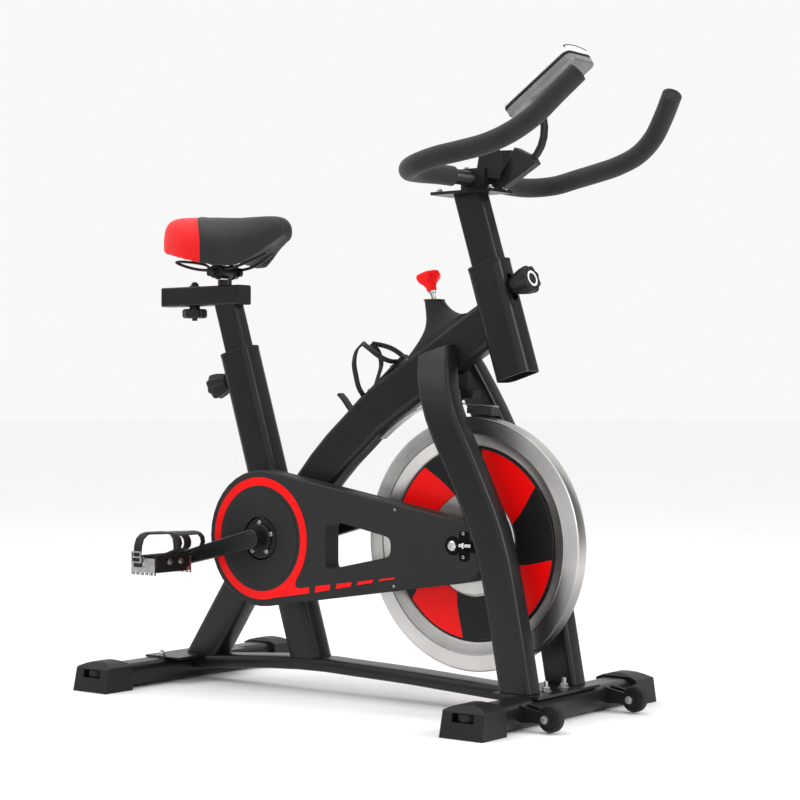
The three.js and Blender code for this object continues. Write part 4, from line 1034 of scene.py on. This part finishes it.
# ---------------------------------------------------------------- handlebar and console
BAR_HALF = [(213, 0, 883), (198, 42, 886), (183, 85, 888), (178, 130, 887), (192, 174, 886),
            (225, 202, 890), (269, 206, 899), (314, 200, 906), (357, 194, 914), (400, 189, 929),
            (436, 178, 953), (465, 163, 985), (491, 145, 1016)]


def handlebar():
    """The bent tube, the two foam grips on it and a plug in each grip's end."""
    right = [Vector((x, -y, z)) * MM for x, y, z in BAR_HALF]
    left = [Vector((x, y, z)) * MM for x, y, z in BAR_HALF]
    bm = bmesh.new()
    sweep(bm, smooth_path(left[:0:-1] + right), circle(12.7 * MM, 32))
    piece("handlebar_tube", bm, POWDER, "bar_mast", ["handlebar"], smooth=60)
    for (name, _), half in zip(SIDES, (right, left)):
        path = smooth_path(half[1:], 10)[3:]
        path.append(path[-1] + (path[-1] - path[-2]).normalized() * 3 * MM)
        grip = bmesh.new()
        sweep(grip, path, circle(16.6 * MM, 40))
        piece(f"foam_grip_{name}", grip, FOAM, "bar_mast", [f"grip_{name}"],
              bevel=1.6 * MM, smooth=60, segments=3)
        plug = bmesh.new()
        way = (path[-1] - path[-2]).normalized()
        profile = mm((0, -4), (12.6, -4), (12.6, 0.4), (11.6, 1.3), (9.4, 1.3), (8.6, 0.3),
                     (7.6, 0.2), (0, 0.9))
        lathe(plug, profile, place(path[-1], way), 48)
        piece(f"grip_plug_{name}", plug, RUBBER, "bar_mast", smooth=30)


def bar_clamp():
    """Bolts through the top plate and the clamp's upper shell over the bar."""
    post_top = 866 * MM
    bm = bmesh.new()
    for x, y in ((140, -20), (140, 20), (244, -20), (244, 20)):
        hex_bolt(bm, (x * MM, y * MM, post_top), UP, 4.6 * MM, 3.4 * MM, 2 * MM)
    for x in (194, 230):
        for y in (-18, 18):
            cap_screw(bm, (x * MM, y * MM, 902 * MM), UP, 3.6 * MM)
    piece("clamp_bolts", bm, ZINC, "bar_mast", smooth=30)
    gusset = bmesh.new()
    outline = rounded_polygon(mm((215, 888), (262, 880), (271, 905), (262, 932), (224, 934)), 4 * MM)
    at = Matrix(((1, 0, 0, 0), (0, 0, 1, -22 * MM), (0, 1, 0, 0), (0, 0, 0, 1)))
    plate(gusset, outline, at, 2 * MM)
    plate(gusset, outline, shift(0, 42, 0) @ at, 2 * MM)
    piece("console_gussets", gusset, POWDER, "bar_mast", bevel=0.5 * MM)


def console():
    """A silver back shell, a black gasket, a light front shell, the screen and its frame."""
    normal = -axis_of("mode_button_press")
    along = ACROSS.cross(normal)
    length, width, thick = 150 * MM, 76 * MM, 27 * MM
    back = place(middle("console") - normal * thick / 2, normal, along)

    def layer(name, surface, grow, start, end, bevel, replaces=()):
        """A slab of the case, in millimetres from its back, larger than the case by grow."""
        bm = bmesh.new()
        outline = rounded_rect(length + grow * MM, width + grow * MM, 14 * MM, 8)
        plate(bm, outline, back @ shift(0, 0, start), (end - start) * MM)
        piece(name, bm, surface, "bar_mast", replaces, bevel=bevel * MM, smooth=40, segments=4)

    layer("console_back", SILVER, 0, 0, 15, 4, ["console"])
    layer("console_gasket", RUBBER, 0.6, 14, 18.4, 0.6)
    layer("console_front", WHITE, -1, 17, 25, 3)
    hood = bmesh.new()
    reach, rise = 33 * MM, 9 * MM
    arc = [-1 + k / 8 for k in range(17)]

    def bowed(v, tall):
        """The part of a height that the hood reaches at v, where -1 and 1 are its two ends."""
        return tall * (1 - 0.55 * v * v)

    def hood_row(behind, tall, half):
        row = []
        for v in arc:
            spot = Vector((length / 2 - 1.5 * MM - behind, v * half, 24.4 * MM + bowed(v, tall)))
            row.append(hood.verts.new(back @ spot))
        return row

    rows = [hood_row(0, 0, reach), hood_row(0, rise, reach),
            hood_row(3 * MM, rise, reach * 0.9), hood_row(10 * MM, 0, reach * 0.9)]
    for first, second in zip(rows, rows[1:] + rows[:1]):
        for k in range(len(arc) - 1):
            hood.faces.new((first[k], first[k + 1], second[k + 1], second[k]))
    for k in (0, -1):
        hood.faces.new([row[k] for row in rows])
    piece("console_hood", hood, WHITE, "bar_mast", smooth=50)
    lip = bmesh.new()
    path = [back @ Vector((length / 2 - 2.6 * MM, v * reach, 24.8 * MM + bowed(v, rise))) for v in arc]
    sweep(lip, path, rounded_rect(3.6 * MM, 2.6 * MM, 0.8 * MM, 2))
    piece("console_hood_lip", lip, PLASTIC, "bar_mast", smooth=40)
    joint_block = bmesh.new()
    plate(joint_block, rounded_rect(24 * MM, 26 * MM, 4 * MM), back @ shift(-12, 0, -9), 9 * MM)
    piece("console_joint", joint_block, PLASTIC, "bar_mast", bevel=MM)
    screen = bmesh.new()
    at = back @ shift(18, 0, 24.6)
    plate(screen, rounded_rect(92 * MM, 56 * MM, 6 * MM), at, 0.8 * MM)
    piece("console_screen", screen, SCREEN, "bar_mast", bevel=0.3 * MM)
    rim = bmesh.new()
    outer = rounded_rect(98 * MM, 62 * MM, 8 * MM)
    inner = rounded_rect(91 * MM, 55 * MM, 6 * MM)
    rings = [[rim.verts.new(at @ Vector((x, y, z))) for x, y in outline]
             for outline, z in ((outer, -MM), (outer, MM), (inner, 1.4 * MM), (inner, 0.4 * MM))]
    for first, second in zip(rings, rings[1:]):
        join(rim, first, second)
    piece("console_screen_frame", rim, PLASTIC, "bar_mast", smooth=30)

    button = bmesh.new()
    spot = back @ shift(-48, 0, 0)
    lathe(button, mm((0, 26.5), (6.2, 26.5), (6.2, 27.6), (5, 28.6), (0, 28.8)), spot, 40)
    piece("mode_button_cap", button, RED, "mode_button", ["console_button"], smooth=40)
    collar = bmesh.new()
    lathe(collar, mm((6.8, 24), (9.4, 24), (8.8, 26.9), (6.8, 26.9)), spot, 48, closed=True)
    piece("mode_button_collar", collar, PLASTIC, "bar_mast", smooth=30)


# ---------------------------------------------------------------- saddle
# Each pairs a place from the tail, 0, to the nose, 1, with a share of the half width or a height in mm.
SADDLE_WIDTH = [(0.0, 0.36), (0.03, 0.64), (0.08, 0.83), (0.17, 0.95), (0.29, 1.0), (0.42, 0.9),
                (0.55, 0.72), (0.68, 0.54), (0.8, 0.39), (0.91, 0.3), (0.97, 0.26), (1.0, 0.19)]
SADDLE_LOW = [(0.0, 796), (0.06, 785), (0.21, 776), (0.44, 761), (0.57, 755),
              (0.66, 757), (0.75, 768), (0.85, 786), (0.95, 801), (1.0, 812)]
SADDLE_TOP = [(0.0, 846), (0.03, 853), (0.11, 856), (0.29, 852),
              (0.55, 847), (0.85, 850), (0.95, 847), (1.0, 834)]


def follow(table, t):
    """The value at t on a smooth curve through the (place, value) pairs of a table."""
    t = min(max(t, 0.0), 1.0)
    i = max(k for k, (start, _) in enumerate(table[:-1]) if t >= start)
    before, start = table[max(i - 1, 0)], table[i]
    end, after = table[i + 1], table[min(i + 2, len(table) - 1)]
    span = end[0] - start[0]
    leave = (end[1] - before[1]) / (end[0] - before[0]) * span
    arrive = (after[1] - start[1]) / (after[0] - start[0]) * span
    u = (t - start[0]) / span
    rise = u * u * (3 - 2 * u)
    return start[1] + (end[1] - start[1]) * rise + leave * u * (1 - u) ** 2 - arrive * u * u * (1 - u)


def saddle():
    """The padded cover: a shell lofted from tail to nose, swollen like a filled cushion."""
    low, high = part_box("saddle")
    length, half_width = high.x - low.x, (high.y - low.y) / 2
    inset = 1.6 * MM
    stations, sides = 64, 56
    bm = bmesh.new()
    rings = []
    for i in range(stations + 1):
        t = 0.5 - 0.5 * math.cos(math.pi * i / stations)
        x = low.x + inset + t * (length - 2 * inset)
        w = follow(SADDLE_WIDTH, t) * half_width - inset
        bottom = follow(SADDLE_LOW, t) * MM + inset
        top = follow(SADDLE_TOP, t) * MM - inset
        ring = []
        for k in range(sides):
            angle = math.pi * k / (sides - 1)
            y = w * signed_power(math.cos(angle), 0.62)
            z = bottom + (top - bottom) * math.sin(angle) ** 0.5
            ring.append(bm.verts.new((x, y, z)))
        hollow = w - min(9 * MM, w * 0.4)
        roof = max(bottom + 3 * MM, min(0.785, top - 22 * MM))
        wall = [(1, bottom + MM), (0.96, (bottom + roof) / 2), (0.8, roof)]
        for out, z in [(-out, z) for out, z in wall] + [(0, roof + MM)] + wall[::-1]:
            ring.append(bm.verts.new((x, out * hollow, z)))
        rings.append(ring)
    for first, second in zip(rings, rings[1:]):
        join(bm, first, second)
    bm.faces.new(rings[0])
    bm.faces.new(rings[-1])
    made = piece("saddle_cover", bm, LEATHER, "saddle_unit", ["saddle"], smooth=180)
    remesh = made.modifiers.new("remesh", "REMESH")
    remesh.mode = "VOXEL"
    remesh.voxel_size = 4 * MM
    remesh.use_smooth_shade = True
    apply_modifiers(made)

    def in_skirt(point):
        """Whether a point is in the cover's lower edge, which stays where it is."""
        return point.z < follow(SADDLE_LOW, (point.x - low.x) / length) * MM + 14 * MM

    swell(made, 4.0, 5 * MM, in_skirt)
    relax = made.modifiers.new("relax", "SMOOTH")
    relax.factor = 0.5
    relax.iterations = 14
    fine = made.modifiers.new("fine", "SUBSURF")
    fine.levels = fine.render_levels = 1
    apply_modifiers(made)
    return made


def apply_modifiers(made):
    """Bakes an object's modifiers into its mesh."""
    shown = made.evaluated_get(bpy.context.evaluated_depsgraph_get())
    mesh = bpy.data.meshes.new_from_object(shown)
    made.modifiers.clear()
    made.data = mesh
    made.data.polygons.foreach_set("use_smooth", [True] * len(mesh.polygons))


def swell(made, pressure, cap, held):
    """Inflates a closed cover as cloth. Points that held() picks stay, and none moves past cap."""
    rest = [v.co.copy() for v in made.data.vertices]
    pins = made.vertex_groups.new(name="held")
    pins.add([i for i, co in enumerate(rest) if held(co)], 1.0, "REPLACE")
    cloth = made.modifiers.new("cloth", "CLOTH")
    cloth.settings.use_pressure = True
    cloth.settings.uniform_pressure_force = pressure
    cloth.settings.effector_weights.gravity = 0
    cloth.settings.vertex_group_mass = "held"
    scene = bpy.context.scene
    for step in range(1, 21):
        scene.frame_set(step)
    shown = made.evaluated_get(bpy.context.evaluated_depsgraph_get())
    moved = [v.co.copy() for v in shown.data.vertices]
    made.modifiers.clear()
    made.vertex_groups.clear()
    for vertex, start, end in zip(made.data.vertices, rest, moved):
        step = end - start
        vertex.co = start + step * min(1.0, cap / step.length if step.length > 0 else 1.0)
    scene.frame_set(1)


def saddle_piping(cover):
    """A thin cord of piping laid on the cover where its two colours meet."""
    bm = bmesh.new()
    bm.from_mesh(cover.data)
    tree = BVHTree.FromBMesh(bm)
    bm.free()
    path = []
    steps = 60
    for i in range(steps + 1):
        angle = math.pi * i / steps
        out = Vector((0, math.cos(angle), math.sin(angle)))
        centre = Vector((SEAM["centre"], 0, 0.80))
        hit = None
        for _ in range(4):
            hit = tree.ray_cast(centre + out * 0.2, -out, 0.3)[0]
            if hit is None:
                break
            centre.x = SEAM["centre"] + SEAM["sweep"] * hit.y * hit.y
        if hit is not None and hit.z > 0.785:
            path.append(hit + out * 0.1 * MM)
    piping = bmesh.new()
    sweep(piping, path, circle(1.1 * MM, 12), side=FORWARD)
    piece("saddle_piping", piping, LEATHER, "saddle_unit", smooth=60)


def saddle_hardware():
    """The sprung wire rails, the clamp that holds them and its serrated washers."""
    wire = [(-258, 9, 781), (-300, 19, 765), (-335, 22, 757), (-400, 24, 756),
            (-432, 34, 763), (-452, 38, 771), (-460, 18, 774)]
    loop = mm(*wire) + mm(*[(x, -y, z) for x, y, z in reversed(wire)])
    bm = bmesh.new()
    sweep(bm, smooth_path(loop), circle(2.7 * MM, 20))
    piece("saddle_wire_rails", bm, POWDER, "saddle_unit", ["saddle_rails"], smooth=60)
    pivot = Vector(JOINT["saddle_tilt"]["pos_m"])
    clamp = bmesh.new()
    for side in (-1, 1):
        at = place(pivot + ACROSS * side * 15 * MM, ACROSS * side, FORWARD)
        lathe(clamp, mm((0, 0), (13.5, 0), (14.5, 1), (14.5, 4), (13.5, 5), (0, 5)),
              at, 96, flutes=32, depth=0.05, fluted_from=13 * MM)
        plate(clamp, rounded_rect(38 * MM, 16 * MM, 5 * MM), at @ shift(0, 0, 6), 8 * MM)
    lathe(clamp, mm((0, -30), (12, -30), (12, 30), (0, 30)), place(pivot, ACROSS, FORWARD), 48)
    piece("saddle_clamp", clamp, POWDER, "saddle_unit", bevel=0.6 * MM)
    nuts = bmesh.new()
    for side in (-1, 1):
        hex_bolt(nuts, pivot + ACROSS * side * 30 * MM, ACROSS * side, 6.5 * MM, 4 * MM, 2 * MM)
    piece("saddle_clamp_nuts", nuts, POWDER, "saddle_unit", smooth=30)


# ---------------------------------------------------------------- stage
CAMERA = {"at": (2.1203, -2.7143, 0.5230), "azimuth": math.radians(37.458),
          "elevation": math.radians(0.103), "lens": 89.49}


def camera():
    data = bpy.data.cameras.new("camera")
    data.lens = CAMERA["lens"]
    data.clip_end = 100
    made = bpy.data.objects.new("camera", data)
    a, e = CAMERA["azimuth"], CAMERA["elevation"]
    back = Vector((math.sin(a) * math.cos(e), -math.cos(a) * math.cos(e), math.sin(e)))
    made.location = CAMERA["at"]
    made.rotation_mode = "QUATERNION"
    made.rotation_quaternion = (-back).to_track_quat("-Z", "Y")
    bpy.context.scene.collection.objects.link(made)
    bpy.context.scene.camera = made


def area_light(name, at, target, size, power):
    data = bpy.data.lights.new(name, "AREA")
    data.shape = "RECTANGLE"
    data.size, data.size_y = size
    data.energy = power
    made = bpy.data.objects.new(name, data)
    made.location = at
    made.rotation_euler = (Vector(target) - Vector(at)).to_track_quat("-Z", "Y").to_euler()
    bpy.context.scene.collection.objects.link(made)


def studio():
    scene = bpy.context.scene
    scene.view_settings.view_transform = "Standard"
    world = bpy.data.worlds.new("studio")
    world.use_nodes = True
    world.node_tree.nodes["Background"].inputs["Color"].default_value = (0.94, 0.94, 0.94, 1)
    world.node_tree.nodes["Background"].inputs["Strength"].default_value = 1.0
    scene.world = world
    aim = (0, 0, 0.5)
    area_light("overhead", (-0.4, -0.6, 3.2), aim, (2.6, 2.6), 38)
    area_light("left_front", (-2.6, -3.0, 2.2), aim, (1.6, 2.2), 32)
    area_light("right_edge", (3.2, 0.6, 1.8), aim, (0.8, 2.2), 44)
    look = Surface("pale_floor", "frame", Roughness=0.9, Specular_IOR_Level=0.1)
    look.use("Base Color", look.colour(look.noise(3), (0.965, 0.965, 0.965, 1), (0.98, 0.98, 0.98, 1)))
    bm = bmesh.new()
    lathe(bm, [(0, 0), (40, 0)], place((0, 0, 0), UP), 96)
    floor = stand("floor", bm, look)
    flag("front_flag", (1.9, 1.9, 1.3), (-1, -0.9, 0), 1.8)
    flag("side_flag", (-1.6, -2.3, 1.2), (0.6, 1, 0), 2.4)


def stand(name, bm, look):
    """Turns a bmesh into a named object of the set, which is no part of the bike."""
    mesh = bpy.data.meshes.new(name)
    bm.to_mesh(mesh)
    bm.free()
    mesh.materials.append(look.material)
    made = bpy.data.objects.new(name, mesh)
    bpy.context.scene.collection.objects.link(made)
    return made


def flag(name, at, facing, width):
    """A dark card beside the bike, hidden from the camera, which darkens what flat faces reflect."""
    look = Surface(name, "frame", Roughness=0.9)
    look.use("Base Color", look.colour(look.noise(3), (0.004, 0.004, 0.004, 1), (0.008, 0.008, 0.008, 1)))
    bm = bmesh.new()
    tall, corner, thick = 2.2, 0.1, 0.02
    plate(bm, rounded_rect(tall, width, corner), place(at, facing, UP), thick)
    card = stand(name, bm, look)
    card.visible_camera = False
    card.visible_shadow = False


camera()
studio()
dress_frame()
frame_bolts()
flywheel()
for side_name, side in SIDES:
    disc_insert(side_name, side)
    pedal(side_name, side)
    transport_wheel(side_name)
    for end in ("front", "rear"):
        levelling_wheel(end, side_name)
wheel_axle()
cover_trim()
cover_tip()
crank_details()
post_knobs()
post_holes()
slider_knob()
brake_knob()
brake_boot()
brake_bracket()
bottle_cage()
handlebar()
bar_clamp()
console()
saddle_piping(saddle())
saddle_hardware()
